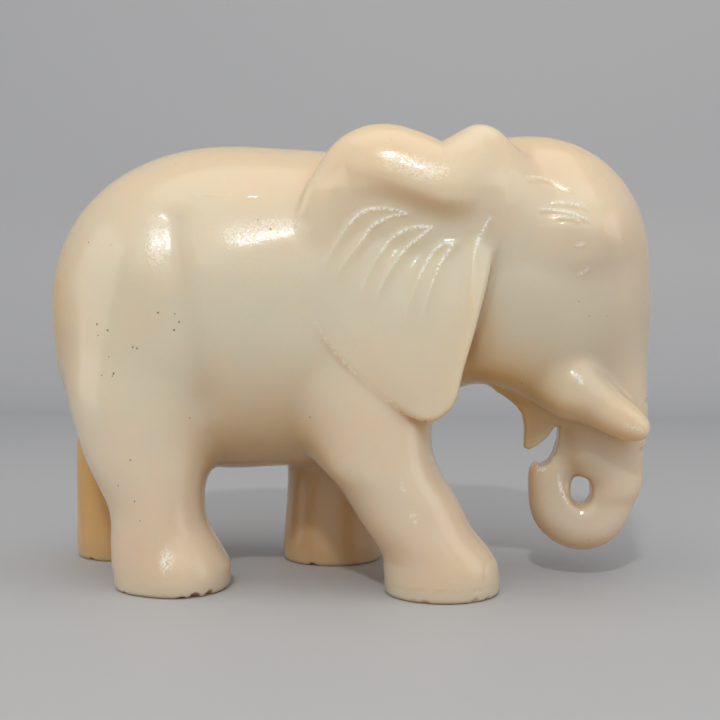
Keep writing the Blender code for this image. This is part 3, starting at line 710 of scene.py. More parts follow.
def sleeve_relief(points, carving):
    """The small knob at the top of each tusk's root."""
    knob = mound(points[:, 0], points[:, 2], *TUSK_KNOB)
    return carving.knob_height * knob * ramp(18, 22, np.abs(points[:, 1]))


def foot_relief(points, carving):
    """Faint scratched lines on the right fore foot."""
    x, z = points[:, 0], points[:, 2]
    marks = groove(x, z, FORE_FOOT_LINE, 0.5) + groove(x, z, FORE_FOOT_MARK, 0.5)
    return -carving.foot_marks * marks


def web_relief(points, carving):
    """The web of the trunk's curl, thinner than the limb beside it."""
    distance, along = flat_rod(points[:, 0], points[:, 2], CURL_WEB, 5)
    face = ramp(3.2, 5.4, np.abs(points[:, 1]))
    return -carving.web_depth * face * ramp(0.6, -0.9, distance) * ramp(0, 0.45, along)


# Reliefs: each one's function, two corners of the box that it lies in, and whether the
# left side has it too.
RELIEFS = (
    (head_relief, (56, -50, 92), (96, -8, 134), True),
    (trunk_relief, (84, -16, 38), (108, 16, 120), True),
    (body_relief, (-110, -50, 50), (4, -8, 140), True),
    (sleeve_relief, (69, -40, 61), (82, -18, 77), True),
    (foot_relief, (16, -50, 2), (54, -24, 14), False),
    (web_relief, (72, -12, 24), (81, 12, 40), True),
)


def add_relief(stone, points, mirrored, carving):
    """Raises or sinks the skin by every relief that is near."""
    for relief, low, high, both_sides in RELIEFS:
        source = mirrored if both_sides else points
        here = near(source, Form(vector(low), vector(high), None))
        if len(here):
            stone[here] -= relief(source[here], carving)


# ---------------------------------------------------------------- the animal


def carve_elephant(carving):
    """The field of the whole animal, as a function of points."""
    body = [(ball(*BARREL, FULLNESS), FIRST_JOIN), (ball(*CHEST, FULLNESS), CHEST_JOIN)]
    body.append((ball(*SEAT), SEAT_JOIN))
    body += [(ball(centre, radii, lean=lean), HAUNCH_JOIN) for centre, radii, lean in HAUNCHES]
    body += [(pillar(leg, LEG_TOP), LEG_JOIN) for leg in LEGS]
    body.append((ball(*HIND_TOES), TOES_JOIN))
    skull, trunk = ball(*SKULL, FULLNESS), pillar(TRUNK, TRUNK_TOP, TRUNK_END)
    head_box = Form(*vector(HEAD_BOX), None)
    arch, curl_hole = bore(*THROAT_ARCH), bore(*CURL_HOLE, CURL_HOLE_STRETCH, CURL_HOLE_FULLNESS)
    curl, tail = rod(TRUNK_CURL, flatness=CURL_FLATNESS), rod(TAIL)
    lip = prism(LIP_OUTLINE, lambda z: LIP_TIP_WIDTH + LIP_SPREAD * (z - LIP_TIP_HEIGHT))
    slot = prism(SLOT_OUTLINE, lambda z: ACROSS)
    tusk, sleeve = rod(TUSK), ball(*TUSK_SLEEVE)
    cheek, brow = ball(*CHEEK), ball(*BROW)
    ear_root, temple = ball(*EAR_ROOT), ball(*TEMPLE)
    right_ear = ear(*ear_tables(carving))
    chips = [ball(centre, (radius, radius, radius)) for centre, radius in CHIPS]

    def head(points, mirrored):
        field = skull.field(points)
        join(field, mirrored, cheek, CHEEK_JOIN)
        join(field, mirrored, brow, BROW_JOIN)
        join(field, points, trunk, TRUNK_JOIN)
        return field

    def field(points):
        points = points.astype(np.float32)
        mirrored = to_right_side(points)
        stone = np.full(len(points), FAR, np.float32)
        for form, reach in body:
            join(stone, points, form, reach)
        here = near(points, head_box, HEAD_JOIN)
        if len(here):
            stone[here] = blend(stone[here], head(points[here], mirrored[here]), HEAD_JOIN)
        join(stone, mirrored, ear_root, EAR_ROOT_JOIN)
        join(stone, mirrored, temple, TEMPLE_JOIN)
        hollow(stone, points, arch, ARCH_EDGE)
        join(stone, points, curl, CURL_JOIN)
        join(stone, points, lip, LIP_JOIN)
        hollow(stone, points, slot, SLOT_EDGE)
        join(stone, mirrored, sleeve, SLEEVE_JOIN)
        join(stone, mirrored, tusk, TUSK_JOIN)
        hollow(stone, points, curl_hole, CURL_HOLE_EDGE)
        join(stone, points, tail, TAIL_JOIN)
        add_relief(stone, points, mirrored, carving)
        here = near(mirrored, right_ear, EAR_REACH)
        if len(here):
            x, z = points[here, 0], points[here, 2]
            crease = EAR_CREASE + EAR_SOFTENING * ramp(106, 124, z) * ramp(36, 50, x)
            stone[here] = blend(stone[here], right_ear.field(mirrored[here]), crease)
        stone = cut(stone, points[:, 2], SOLE_EDGE)
        for chip in chips:
            hollow(stone, points, chip, CHIP_EDGE)
        return stone

    return field


# ---------------------------------------------------------------- from field to mesh

# The block that the carving is sampled in, the step of its coarsest grid, and how far
# from the skin a grid point is at least when it is moved past it.
BLOCK_LOW = (-112.0, -50.4, -5.6)
BLOCK_HIGH = (110.0, 50.4, 154.0)
COARSE_STEP = 2.8
LEAST_DEPTH = 0.01
# Points that one processor works out at a time.
PART_SIZE = 40000
# The corners of a small tetrahedron, along which the field's slope is measured.
TETRAHEDRON = np.array(((1, -1, -1), (-1, -1, 1), (-1, 1, -1), (1, 1, 1)), float)
TETRAHEDRON_REACH = 0.12


def in_parts(field_of, places):
    """The field at many places, worked out a part at a time on all processors."""
    parts = np.array_split(places, len(places) // PART_SIZE + 1)
    with ThreadPoolExecutor() as pool:
        return np.concatenate(list(pool.map(field_of, parts)))


def sample(field_of, halvings):
    """The field on a grid and the grid's step, worked out exactly only near the skin.

    A coarse grid is worked out first and halved a few times. Each time, points far
    from the skin take the value of their nearest coarse point: only its sign counts.
    """
    step = COARSE_STEP
    counts = [int(np.ceil((b - a) / step)) + 1 for a, b in zip(BLOCK_LOW, BLOCK_HIGH)]
    axes = [a + step * np.arange(n) for a, n in zip(BLOCK_LOW, counts)]
    corners = np.stack(np.meshgrid(*axes, indexing="ij"), -1).reshape(-1, 3)
    values = in_parts(field_of, corners).reshape(counts)
    for _ in range(halvings):
        near_skin = 1.6 * step + 1
        step /= 2
        fine = [np.minimum((np.arange(2 * n - 1) + 1) // 2, n - 1) for n in values.shape]
        values = values[np.ix_(*fine)]
        close = np.abs(values) < near_skin
        values[close] = in_parts(field_of, np.array(BLOCK_LOW) + np.argwhere(close) * step)
    return values, step


def untangle(values):
    """Moves the skin past a grid point wherever two diagonal corners of a grid square
    are inside and the other two are not, because the net would meet itself there."""
    for _ in range(20):
        tangled = 0
        for side, up in ((0, 1), (1, 2), (0, 2)):
            size = [n - (axis in (side, up)) for axis, n in enumerate(values.shape)]
            squares = []
            for i, j in ((0, 0), (1, 0), (1, 1), (0, 1)):
                start = [i * (axis == side) + j * (axis == up) for axis in range(3)]
                squares.append(values[tuple(slice(a, a + n) for a, n in zip(start, size))])
            a, b, c, d = (square < 0 for square in squares)
            place = np.argwhere((a == c) & (b == d) & (a != b))
            if not len(place):
                continue
            tangled += len(place)
            four = np.stack([square[tuple(place.T)] for square in squares])
            nearest = np.abs(four).argmin(axis=0)
            place[:, side] += np.isin(nearest, (1, 2))
            place[:, up] += np.isin(nearest, (2, 3))
            place = np.unique(place, axis=0)
            old = values[tuple(place.T)]
            values[tuple(place.T)] = np.where(old < 0, LEAST_DEPTH, -LEAST_DEPTH)
        if not tangled:
            return
    raise RuntimeError("the skin still meets itself")


def surface_net(values, step):
    """Vertices and quads of the skin: one vertex in each cell that the skin crosses.

    The vertex is the mean of the points where the skin crosses the cell's edges.
    Each grid edge with one end inside gives the quad of the four cells round it.
    """
    inside = values < 0
    cells = tuple(n - 1 for n in values.shape)
    count = np.zeros(cells, np.int8)
    for i, j, k in np.ndindex(2, 2, 2):
        count += inside[i : cells[0] + i, j : cells[1] + j, k : cells[2] + k]
    crossed = (count > 0) & (count < 8)
    cell = np.argwhere(crossed)
    index = np.full(cells, -1)
    index[crossed] = np.arange(len(cell))
    total = np.zeros((len(cell), 3))
    hits = np.zeros(len(cell))
    quads = []
    for axis in range(3):
        side, up = (axis + 1) % 3, (axis + 2) % 3
        for i, j in ((0, 0), (1, 0), (0, 1), (1, 1)):
            start = cell.copy()
            start[:, side] += i
            start[:, up] += j
            end = start.copy()
            end[:, axis] += 1
            a, b = values[tuple(start.T)], values[tuple(end.T)]
            met = (a < 0) != (b < 0)
            place = start[met].astype(float)
            place[:, axis] += a[met] / (a[met] - b[met])
            total[met] += place
            hits[met] += 1
        first = np.take(inside, range(cells[axis]), axis)
        second = np.take(inside, range(1, cells[axis] + 1), axis)
        edge = np.argwhere(first != second)
        ring = []
        for i, j in ((-1, -1), (0, -1), (0, 0), (-1, 0)):
            around = edge.copy()
            around[:, side] += i
            around[:, up] += j
            ring.append(index[tuple(around.T)])
        quad = np.stack(ring, -1)
        outwards = first[tuple(edge.T)]
        quad[~outwards] = quad[~outwards][:, ::-1]
        quads.append(quad)
    return np.array(BLOCK_LOW) + step * total / hits[:, None], np.vstack(quads)


def slope(field_of, points):
    """The field's gradient, from its values at a small tetrahedron's corners."""
    around = [in_parts(field_of, points + corner * TETRAHEDRON_REACH) for corner in TETRAHEDRON]
    total = sum(corner * value[:, None] for corner, value in zip(TETRAHEDRON, around))
    return total / (4 * TETRAHEDRON_REACH)


def settle(field_of, points, most):
    """Moves points onto the skin by one Newton step, and gives the skin's normals."""
    gradient = slope(field_of, points)
    value = in_parts(field_of, points)
    size = np.maximum(norm(gradient), 0.3)
    move = np.clip(value / size, -most, most)
    normals = gradient / size[:, None]
    return points - normals * move[:, None], normals


# ---------------------------------------------------------------- Blender meshes


def new_mesh(name, points, faces):
    """A mesh of the points, joined into the faces."""
    mesh = bpy.data.meshes.new(name)
    mesh.from_pydata(points.tolist(), [], faces.tolist())
    mesh.update()
    return mesh


def add_object(name, data):
    """An object at the origin that shows the mesh, or holds the light or the camera."""
    thing = bpy.data.objects.new(name, data)
    bpy.context.scene.collection.objects.link(thing)
    return thing


def thin(mesh, triangles):
    """A copy of the mesh with its flatter parts in fewer facets."""
    workpiece = add_object("workpiece", mesh)
    thinned = workpiece.modifiers.new("fewer facets", "DECIMATE")
    thinned.ratio = min(1.0, triangles / (2 * len(mesh.polygons)))
    graph = bpy.context.evaluated_depsgraph_get()
    result = bpy.data.meshes.new_from_object(workpiece.evaluated_get(graph))
    bpy.data.objects.remove(workpiece)
    bpy.data.meshes.remove(mesh)
    return result


# Where facets are halved, in turn: two corners of a box, and whether the left side
# has it too.
FINE_PLACES = (
    ((-6, -48, 84), (53, -30, 123), True),
    ((-4, -48, 98), (50, -30, 122), False),
    ((56, -40, 98), (85, -18, 133), True),
    ((58, -12, 36), (74, 0.1, 54), True),
    ((70, -12, 22), (84, 0.1, 40), True),
)


def divide(points, triangles):
    """Halves the edges of the triangles in each fine place.

    An edge is halved if both its ends are in the place. So a triangle has no edge
    halved and is kept, or one and becomes two, or all three and becomes four.
    """
    for low, high, both_sides in FINE_PLACES:
        places = to_right_side(points) if both_sides else points
        inside = ((places > low) & (places < high)).all(axis=1)
        ends = np.stack([triangles, np.roll(triangles, -1, axis=1)], -1).reshape(-1, 2)
        ends.sort(axis=1)
        keys = ends[:, 0] * len(points) + ends[:, 1]
        _, first, index = np.unique(keys, return_index=True, return_inverse=True)
        edges = ends[first]
        halved = inside[edges].all(axis=1)
        middles = np.full(len(edges), -1)
        middles[halved] = len(points) + np.arange(halved.sum())
        points = np.vstack([points, points[edges[halved]].mean(axis=1)])
        middles = middles[index.reshape(-1, 3)]
        count = (middles >= 0).sum(axis=1)
        one = middles[count == 1]
        turn = (one.argmax(axis=1)[:, None] + np.arange(3)) % 3
        a, b, c = np.take_along_axis(triangles[count == 1], turn, 1).T
        ab = one.max(axis=1)
        p, q, r = triangles[count == 3].T
        pq, qr, rp = middles[count == 3].T
        split = ((a, ab, c), (ab, b, c), (p, pq, rp), (pq, q, qr), (rp, qr, r), (pq, qr, rp))
        parts = [np.stack(corners, -1) for corners in split]
        triangles = np.vstack([triangles[count == 0], *parts])
    return points, triangles


def facets(mesh):
    """The places of the mesh's vertices, and its faces as triangles."""
    mesh.calc_loop_triangles()
    corners = np.empty(len(mesh.loop_triangles) * 3, np.int32)
    mesh.loop_triangles.foreach_get("vertices", corners)
    places = np.empty(len(mesh.vertices) * 3, np.float32)
    mesh.vertices.foreach_get("co", places)
    return places.reshape(-1, 3).astype(float), corners.reshape(-1, 3).astype(int)


def store(mesh, name, values):
    """Keeps one number per vertex in the mesh, for the material to read."""
    attribute = mesh.attributes.new(name, "FLOAT", "POINT")
    attribute.data.foreach_set("value", values.astype(np.float32))


def shelter(field_of, points, normals, reach):
    """0 where the skin is open, rising to 1 where stone closes in within the reach."""
    return np.clip(1 - in_parts(field_of, points + normals * reach) / reach, 0, 1)


def depth(field_of, points, normals, reach):
    """1 where there is stone all through the reach below the skin, less where thin."""
    return np.clip(-in_parts(field_of, points - normals * reach) / reach, 0, 1)


def inner_side(points, normals):
    """1 on the sides of the legs that face the other pair, 0 elsewhere."""
    inwards = -normals[:, 1] * np.sign(points[:, 1])
    return ramp(-0.1, 0.8, inwards) * ramp(72, 50, points[:, 2])


def frost(points):
    """1 where highlights are painted white: along the finest strokes of the carving.

    They are the rims of the ear's folds and its front ridge, the ear's rear edge, the strokes
    of the brow and the lids, and listed strokes and patches: a bell of each one's distance.
    """
    x, z, out = points[:, 0], points[:, 2], np.abs(points[:, 1])
    total = np.zeros(len(points))
    for fold in EAR_FOLDS:
        distance, along = flat_rod(x, z, fold)
        total += bell(distance, HIGHLIGHT_STROKE_WIDTH) * (1 - ramp(0.3, 0.62, along))
    distance, along = flat_rod(x, z, EAR_FRONT_RIDGE)
    total += bell(distance, HIGHLIGHT_STROKE_WIDTH) * ramp(0, 0.08, along) * (1 - ramp(0.28, 0.5, along))
    edge = outline_distance(x, z, closed_curve(EAR_OUTLINE, 8))
    total += EAR_EDGE_HIGHLIGHT * bell(edge + 0.5, 0.36) * ramp(30, 20, x) * ramp(92, 80, z)
    total *= ramp(31, 34, out) * ramp(124, 120, z)
    for stroke in (*BROW_STROKES, UPPER_LID, LOWER_LID):
        total += STROKE_HIGHLIGHT * groove(x, z, stroke, 0.4) * ramp(18, 22, out)
    for stroke, strength in HIGHLIGHT_STROKES:
        total += strength * groove(x, z, stroke, 0.5) * ramp(4, 6, out)
    for middle, reach, strength in HIGHLIGHT_PATCHES:
        total += strength * mound(x, z, middle, reach) * ramp(-20, -25, points[:, 1])
    return np.clip(total, 0, 1)


def zone_share(points, zones):
    """How much the zones colour each point: the sum of their bells, up to 1."""
    return np.clip(sum(bell(norm(points - centre), reach) for centre, reach in zones), 0, 1)


def even_directions(count):
    """Directions spread evenly over a sphere along a golden spiral."""
    height = 1 - (2 * np.arange(count) + 1) / count
    turn = np.arange(count) * np.pi * (3 - np.sqrt(5))
    flat = np.sqrt(1 - height**2)
    return np.stack([flat * np.cos(turn), flat * np.sin(turn), height], -1)


def read_grid(values, step, points):
    """The grid's values at any points, mixed from the eight corners round each."""
    place = np.clip((points - BLOCK_LOW) / step, 0, np.array(values.shape) - 1.001)
    corner = place.astype(int)
    u, v, w = (place - corner).T
    i, j, k = corner.T
    total = 0
    for a, b, c in np.ndindex(2, 2, 2):
        share = (u if a else 1 - u) * (v if b else 1 - v) * (w if c else 1 - w)
        total = total + share * values[i + a, j + b, k + c]
    return total


# How the light from above is found: the directions tried and the lowest one that
# counts, the distances looked at along each, the width of its cone to a unit of
# distance, where it starts above the skin, and the share of light that is even.
SKY_DIRECTIONS = 40
SKY_LOWEST = -0.2
SKY_DISTANCES = (4, 7, 11, 16, 23, 32, 44, 60)
SKY_CONE = 0.55
SKY_START = 1.5
SKY_EVEN = 0.35


def skylight(values, step, points, normals):
    """How much light from above reaches each point: 1 on an open top, 0 where hidden.

    A cone is followed in each of many directions, over the grid of the field, and it
    is closed by as much of its width as the stone fills at the worst place along it.
    """
    directions = even_directions(SKY_DIRECTIONS)
    light = np.zeros(len(points))
    open_light = 0
    for way in directions[directions[:, 2] > SKY_LOWEST]:
        facing = np.clip(normals @ way, 0, None)
        strength = SKY_EVEN + (1 - SKY_EVEN) * max(way[2], 0)
        clear = np.ones(len(points))
        for distance in SKY_DISTANCES:
            gap = read_grid(values, step, points + normals * SKY_START + way * distance)
            clear = np.minimum(clear, 0.5 + gap / (SKY_CONE * distance))
        light += strength * facing * np.clip(clear, 0, 1)
        open_light += strength * max(way[2], 0)
    return np.clip(light / open_light, 0, 1)


def stone_values(field_of, coarse, points, normals):
    """What the material reads at each vertex, by name, much of it to paint light and shade
    into the colour: how closed in the skin is, how thick the stone is below it, how much
    sky it sees, the zones that it lies in, and where highlights are painted."""
    parts = zip(np.array_split(points, 16), np.array_split(normals, 16))
    with ThreadPoolExecutor() as pool:
        lit = list(pool.map(lambda part: skylight(coarse, COARSE_STEP, *part), parts))
    mirrored = to_right_side(points)
    return {
        # Crease, shelter, skylight and inner feed painted shade, and depth a painted glow.
        "crease": shelter(field_of, points, normals, 3.5),
        "shelter": shelter(field_of, points, normals, 12.0),
        "depth": depth(field_of, points, normals, 4.0),
        "inner": inner_side(points, normals),
        "skylight": np.concatenate(lit),
        "peach": zone_share(mirrored, PEACH_ZONES),
        "cool": zone_share(mirrored, COOL_ZONES),
        # Painted shade with a warm glow.
        "amber": zone_share(points, AMBER_SHADE_ZONES),
        # Partly a duller tone of the stone, partly painted shade, and painted shade on the far feet.
        "grey": zone_share(mirrored, GREY_TONE_AND_SHADE_ZONES) + FAR_FEET_SHADE_STRENGTH * zone_share(points, FAR_FEET_SHADE),
        # Where highlights are painted.
        "frost": frost(points),
    }


def in_model_place(points):
    """The points in metres, as long as the model's own node and in its place."""
    low, high = points.min(axis=0), points.max(axis=0)
    unit = (CAD_HIGH.x - CAD_LOW.x) / (high[0] - low[0])
    places = points - ((low[0] + high[0]) / 2, (low[1] + high[1]) / 2, 0)
    places[:, 2] = np.maximum(places[:, 2], 0)
    return places * unit + ((CAD_HIGH.x + CAD_LOW.x) / 2, (CAD_HIGH.y + CAD_LOW.y) / 2, CAD_LOW.z)


def skin_of(carving):
    """The elephant's fine mesh in metres, in the place of the model's own node."""
    field_of = carve_elephant(carving)
    coarse, _ = sample(field_of, 0)
    values, step = sample(field_of, 2)
    untangle(values)
    thinned = thin(new_mesh("skin", *surface_net(values, step)), carving.triangles)
    points, triangles = divide(*facets(thinned))
    bpy.data.meshes.remove(thinned)
    mesh = new_mesh("elephant", points, triangles)
    points, _ = settle(field_of, points, 0.3)
    points, normals = settle(field_of, points, 0.1)
    for name, values in stone_values(field_of, coarse, points, normals).items():
        store(mesh, name, values)
    mesh.vertices.foreach_set("co", in_model_place(points).astype(np.float32).ravel())
    mesh.shade_smooth()
    mesh.update()
    mesh.normals_split_custom_set_from_vertices(normals.tolist())
    return mesh


# ---------------------------------------------------------------- shader groups


def new_group(name, inputs, outputs):
    """A shader node group with named sockets: (name, socket type, default)."""
    group = bpy.data.node_groups.new(name, "ShaderNodeTree")
    for title, kind, default in inputs:
        socket = group.interface.new_socket(title, in_out="INPUT", socket_type=kind)
        if default is not None:
            socket.default_value = default
    for title, kind in outputs:
        group.interface.new_socket(title, in_out="OUTPUT", socket_type=kind)
    return group, group.nodes.new("NodeGroupInput").outputs, group.nodes.new("NodeGroupOutput").inputs


def wire(tree, made, key, value):
    """Puts a value or a link in an input, found by its name or its number."""
    if isinstance(value, bpy.types.NodeSocket):
        tree.links.new(value, made.inputs[key])
    else:
        made.inputs[key].default_value = value


def node(tree, kind, settings=None, **values):
    """A node with its settings and with values or links in its named inputs."""
    made = tree.nodes.new(kind)
    for key, value in (settings or {}).items():
        setattr(made, key, value)
    for key, value in values.items():
        wire(tree, made, key.replace("_", " "), value)
    return made


def grouped(tree, group, **values):
    """The outputs of a node that uses the group, with values in its named inputs."""
    return node(tree, "ShaderNodeGroup", {"node_tree": group}, **values).outputs


def maths(tree, operation, *values, clamp=False):
    """A Math node of one operation on values or links."""
    made = node(tree, "ShaderNodeMath", {"operation": operation, "use_clamp": clamp})
    for i, value in enumerate(values):
        wire(tree, made, i, value)
    return made.outputs[0]


def times(tree, first, second):
    """The product of two values or links."""
    return maths(tree, "MULTIPLY", first, second)


def mix(tree, share, first, second):
    """A mix of two colours or links: all of the second where the share is 1."""
    made = node(tree, "ShaderNodeMix", {"data_type": "RGBA"})
    for i, value in ((0, share), (6, first), (7, second)):
        wire(tree, made, i, value)
    return made.outputs[2]


def spread(tree, value, low, high, most=1.0):
    """0 at the value low, the most at the value high, and a smooth S between."""
    made = node(tree, "ShaderNodeMapRange", {"interpolation_type": "SMOOTHSTEP"})
    for i, number in enumerate((value, low, high, 0.0, most)):
        wire(tree, made, i, number)
    return made.outputs[0]


def noise(tree, place, scale, detail=2.0, roughness=0.5, distortion=0.0):
    """Smooth noise from 0 to 1, with the scale's number of waves to a metre."""
    settings = {"Scale": scale, "Detail": detail, "Roughness": roughness, "Distortion": distortion}
    return node(tree, "ShaderNodeTexNoise", Vector=place, **settings).outputs["Fac"]


def object_place(tree):
    """Each point's place on its object, in metres."""
    return tree.nodes.new("ShaderNodeTexCoord").outputs["Object"]


def stone_clouds_group():
    """Soft zones of a second and a third colour drifting through the stone."""
    group, given, out = new_group(
        "stone_clouds",
        [
            ("Main", "NodeSocketColor", None),
            ("Cool", "NodeSocketColor", None),
            ("Warm", "NodeSocketColor", None),
            ("Scale", "NodeSocketFloat", 20.0),
            ("Strength", "NodeSocketFloat", 0.5),
        ],
        [("Color", "NodeSocketColor")],
    )
    place = object_place(group)
    shifted = node(group, "ShaderNodeMapping", Vector=place, Location=(3.7, 1.9, 5.2)).outputs[0]
    cool_zone = spread(group, noise(group, place, given["Scale"], 3.0, 0.55, 0.4), 0.42, 0.66)
    warm_zone = spread(group, noise(group, shifted, given["Scale"], 2.0, 0.5, 0.2), 0.45, 0.72)
    tone = mix(group, times(group, cool_zone, given["Strength"]), given["Main"], given["Cool"])
    tone = mix(group, times(group, warm_zone, given["Strength"]), tone, given["Warm"])
    group.links.new(tone, out["Color"])
    return group


def polish_group():
    """Grain of the polished face: a height for the bump, and an uneven roughness."""
    group, given, out = new_group(
        "polish",
        [
            ("Grain Size", "NodeSocketFloat", 0.0003),
            ("Roughness", "NodeSocketFloat", 0.25),
            ("Unevenness", "NodeSocketFloat", 0.1),
        ],
        [("Height", "NodeSocketFloat"), ("Roughness", "NodeSocketFloat")],
    )
    place = object_place(group)
    fine = noise(group, place, maths(group, "DIVIDE", 1.0, given["Grain Size"]), 2.0, 0.6)
    broad = noise(group, place, 130.0, 3.0, 0.55)
    group.links.new(maths(group, "ADD", fine, times(group, broad, 1.5)), out["Height"])
    uneven = times(group, maths(group, "SUBTRACT", broad, 0.5), given["Unevenness"])
    group.links.new(maths(group, "ADD", given["Roughness"], uneven, clamp=True), out["Roughness"])
    return group


def pits_group():
    """1 in small dark pits of the stone, 0 elsewhere: those listed on the right
    side, by their distance in the side view, and a few strays anywhere, by noise."""
    group, given, out = new_group(
        "pits",
        [("Stray Scale", "NodeSocketFloat", 260.0), ("Stray Size", "NodeSocketFloat", 0.045)],
        [("Mask", "NodeSocketFloat")],
    )
    place = object_place(group)
    parts = node(group, "ShaderNodeSeparateXYZ", Vector=place).outputs
    flat = node(group, "ShaderNodeCombineXYZ", X=parts["X"], Z=parts["Z"]).outputs[0]
    centre_x = (CAD_LOW.x + CAD_HIGH.x) / 2
    unit = (CAD_HIGH.x - CAD_LOW.x) / CARVED_LENGTH
    nearest = None
    for x, z, radius in PITS:
        centre = ((x - CARVED_MIDDLE) * unit + centre_x, 0, CAD_LOW.z + z * unit)
        gap = node(group, "ShaderNodeVectorMath", {"operation": "DISTANCE"})
        wire(group, gap, 0, flat)
        wire(group, gap, 1, centre)
        share = maths(group, "DIVIDE", gap.outputs["Value"], radius * unit)
        nearest = share if nearest is None else maths(group, "MINIMUM", nearest, share)
    wobble = maths(group, "SUBTRACT", noise(group, place, 2500.0, 1.0), 0.5)
    ragged = maths(group, "ADD", nearest, times(group, wobble, 1.2))
    right_side = maths(group, "LESS_THAN", parts["Y"], 0.0)
    placed = times(group, spread(group, ragged, 1.25, 0.6), right_side)
    cells = node(group, "ShaderNodeTexVoronoi", Vector=place, Scale=given["Stray Scale"])
    stray = maths(group, "LESS_THAN", cells.outputs["Distance"], given["Stray Size"])
    rare = spread(group, noise(group, place, 40.0, 1.0), 0.62, 0.66)
    group.links.new(maths(group, "MAXIMUM", placed, times(group, stray, rare)), out["Mask"])
    return group


# How far up the low tone reaches in metres, which is partly the stone's own and partly
# painted shade and warm light bounced up from below, the colour of painted highlights,
# the depth of a pit and of the grain, and how light of each colour spreads inside the stone.
LOW_TONE_AND_SHADE_TOP = 0.09
PAINTED_HIGHLIGHT_COLOUR = (1.0, 0.98, 0.94)
PIT_DEPTH = 6.0
GRAIN_DEPTH = 0.0001
LIGHT_SPREAD = (1.0, 0.62, 0.36)
JADE_IOR = 1.6


def jade_material(finish):
    """Polished jade: pale cream, with a painted glow where it is thin, painted shade where it is
    creased, sheltered, hidden from the sky or on the legs' inner sides, a low tone that is
    partly painted shade, and painted highlights.

    The tones are laid over each other in turn, each by its own share.
    """
    material = bpy.data.materials.new("polished_jade")
    material.use_nodes = True
    tree = material.node_tree
    shader = tree.nodes["Principled BSDF"]
    names = ("crease", "shelter", "depth", "inner", "skylight", "peach", "cool", "amber", "grey", "frost")
    crease, sheltered, deep, inner, skylit, peach, cool, amber, grey, highlight_mask = (
        node(tree, "ShaderNodeAttribute", {"attribute_name": name}).outputs["Fac"] for name in names
    )
    place = object_place(tree)
    height = node(tree, "ShaderNodeSeparateXYZ", Vector=place).outputs["Z"]
    pits = grouped(tree, pits_group())["Mask"]
    # Painted highlights: white stipple along fine strokes and on patches where light glints, whose specks
    # are made rougher too.
    speckle = spread(tree, noise(tree, place, 1300.0, 1.0, 0.5), 0.4, 0.56)
    painted_glitter = times(tree, highlight_mask, times(tree, speckle, finish.painted_highlight_strength))
    # Painted shade: umber where little sky light reaches, and on the legs' inner sides.
    painted_sky_shade = spread(tree, skylit, 0.38, 0.06, finish.sky_shade_strength)
    painted_sky_shade = maths(tree, "MAXIMUM", painted_sky_shade, times(tree, inner, finish.inner_shade_strength))

    colours = {"Main": (*finish.cream, 1), "Cool": (*finish.cool, 1), "Warm": (*finish.warm, 1)}
    clouds = {"Scale": finish.cloud_scale, "Strength": finish.cloud_strength}
    tone = grouped(tree, stone_clouds_group(), **colours, **clouds)["Color"]
    for share, colour in (
        (times(tree, peach, 0.6), finish.peach),
        (times(tree, cool, 0.6), finish.cool),
        # Partly a duller tone of the stone, partly painted shade, and painted shade on the far feet.
        (times(tree, grey, 0.6), finish.grey),
        # Darker and browner towards the feet: partly the stone's tone, partly painted shade and warm light
        # bounced up from below.
        (spread(tree, height, LOW_TONE_AND_SHADE_TOP, 0.0, finish.low_tone_and_shade_strength), finish.low),
        # Painted shade with a warm glow.
        (times(tree, amber, 0.85), finish.amber),
        # Painted glow of light through thin stone.
        (spread(tree, deep, 0.95, 0.35, finish.thin_glow_strength), finish.warm),
        # Painted shade where little sky light reaches.
        (painted_sky_shade, finish.umber),
        # Painted shade in sheltered hollows.
        (spread(tree, sheltered, 0.3, 0.9, finish.shelter_shade_strength), finish.umber),
        # Painted shade in creases.
        (spread(tree, crease, 0.3, 0.9, finish.crease_shade_strength), finish.umber),
        # Painted highlights.
        (painted_glitter, PAINTED_HIGHLIGHT_COLOUR),
        (times(tree, pits, 0.8), finish.pit),
    ):
        tone = mix(tree, share, tone, (*colour, 1))
    tree.links.new(tone, shader.inputs["Base Color"])

    settings = {"Roughness": finish.roughness, "Unevenness": finish.unevenness}
    polish = grouped(tree, polish_group(), Grain_Size=finish.grain_size, **settings)
    dulled = maths(tree, "ADD", polish["Roughness"], times(tree, painted_glitter, finish.highlight_roughness))
    tree.links.new(dulled, shader.inputs["Roughness"])
    dents = maths(tree, "SUBTRACT", polish["Height"], times(tree, pits, PIT_DEPTH))
    bump = node(tree, "ShaderNodeBump", Strength=finish.grain_strength, Distance=GRAIN_DEPTH, Height=dents)
    tree.links.new(bump.outputs[0], shader.inputs["Normal"])

    shader.inputs["Metallic"].default_value = 0.0
    shader.inputs["IOR"].default_value = JADE_IOR
    shader.inputs["Subsurface Weight"].default_value = finish.translucency
    shader.inputs["Subsurface Radius"].default_value = LIGHT_SPREAD
    shader.inputs["Subsurface Scale"].default_value = finish.light_depth
    return material


# ---------------------------------------------------------------- studio

# Softboxes: name, power setting, azimuth and elevation, then distance and the two
# sides in lengths of the piece, and tint.
SOFTBOXES = (
    ("key", "key_power", (0, 42), 7.4, (0.5, 0.32), (1, 0.98, 0.95)),
    ("front", "front_power", (8, 36), 8, (13, 6), (1, 0.98, 0.93)),
    ("top", "top_power", (20, 82), 4, (5, 3), (1, 0.92, 0.8)),
    ("left", "side_power", (-78, 16), 6, (4, 4), (1, 0.93, 0.84)),
    ("right", "side_power", (78, 16), 6, (4, 4), (1, 0.93, 0.84)),
)
SKY_TINT = (0.93, 0.95, 1.0, 1)
FLOOR_ROUGHNESS = 0.6
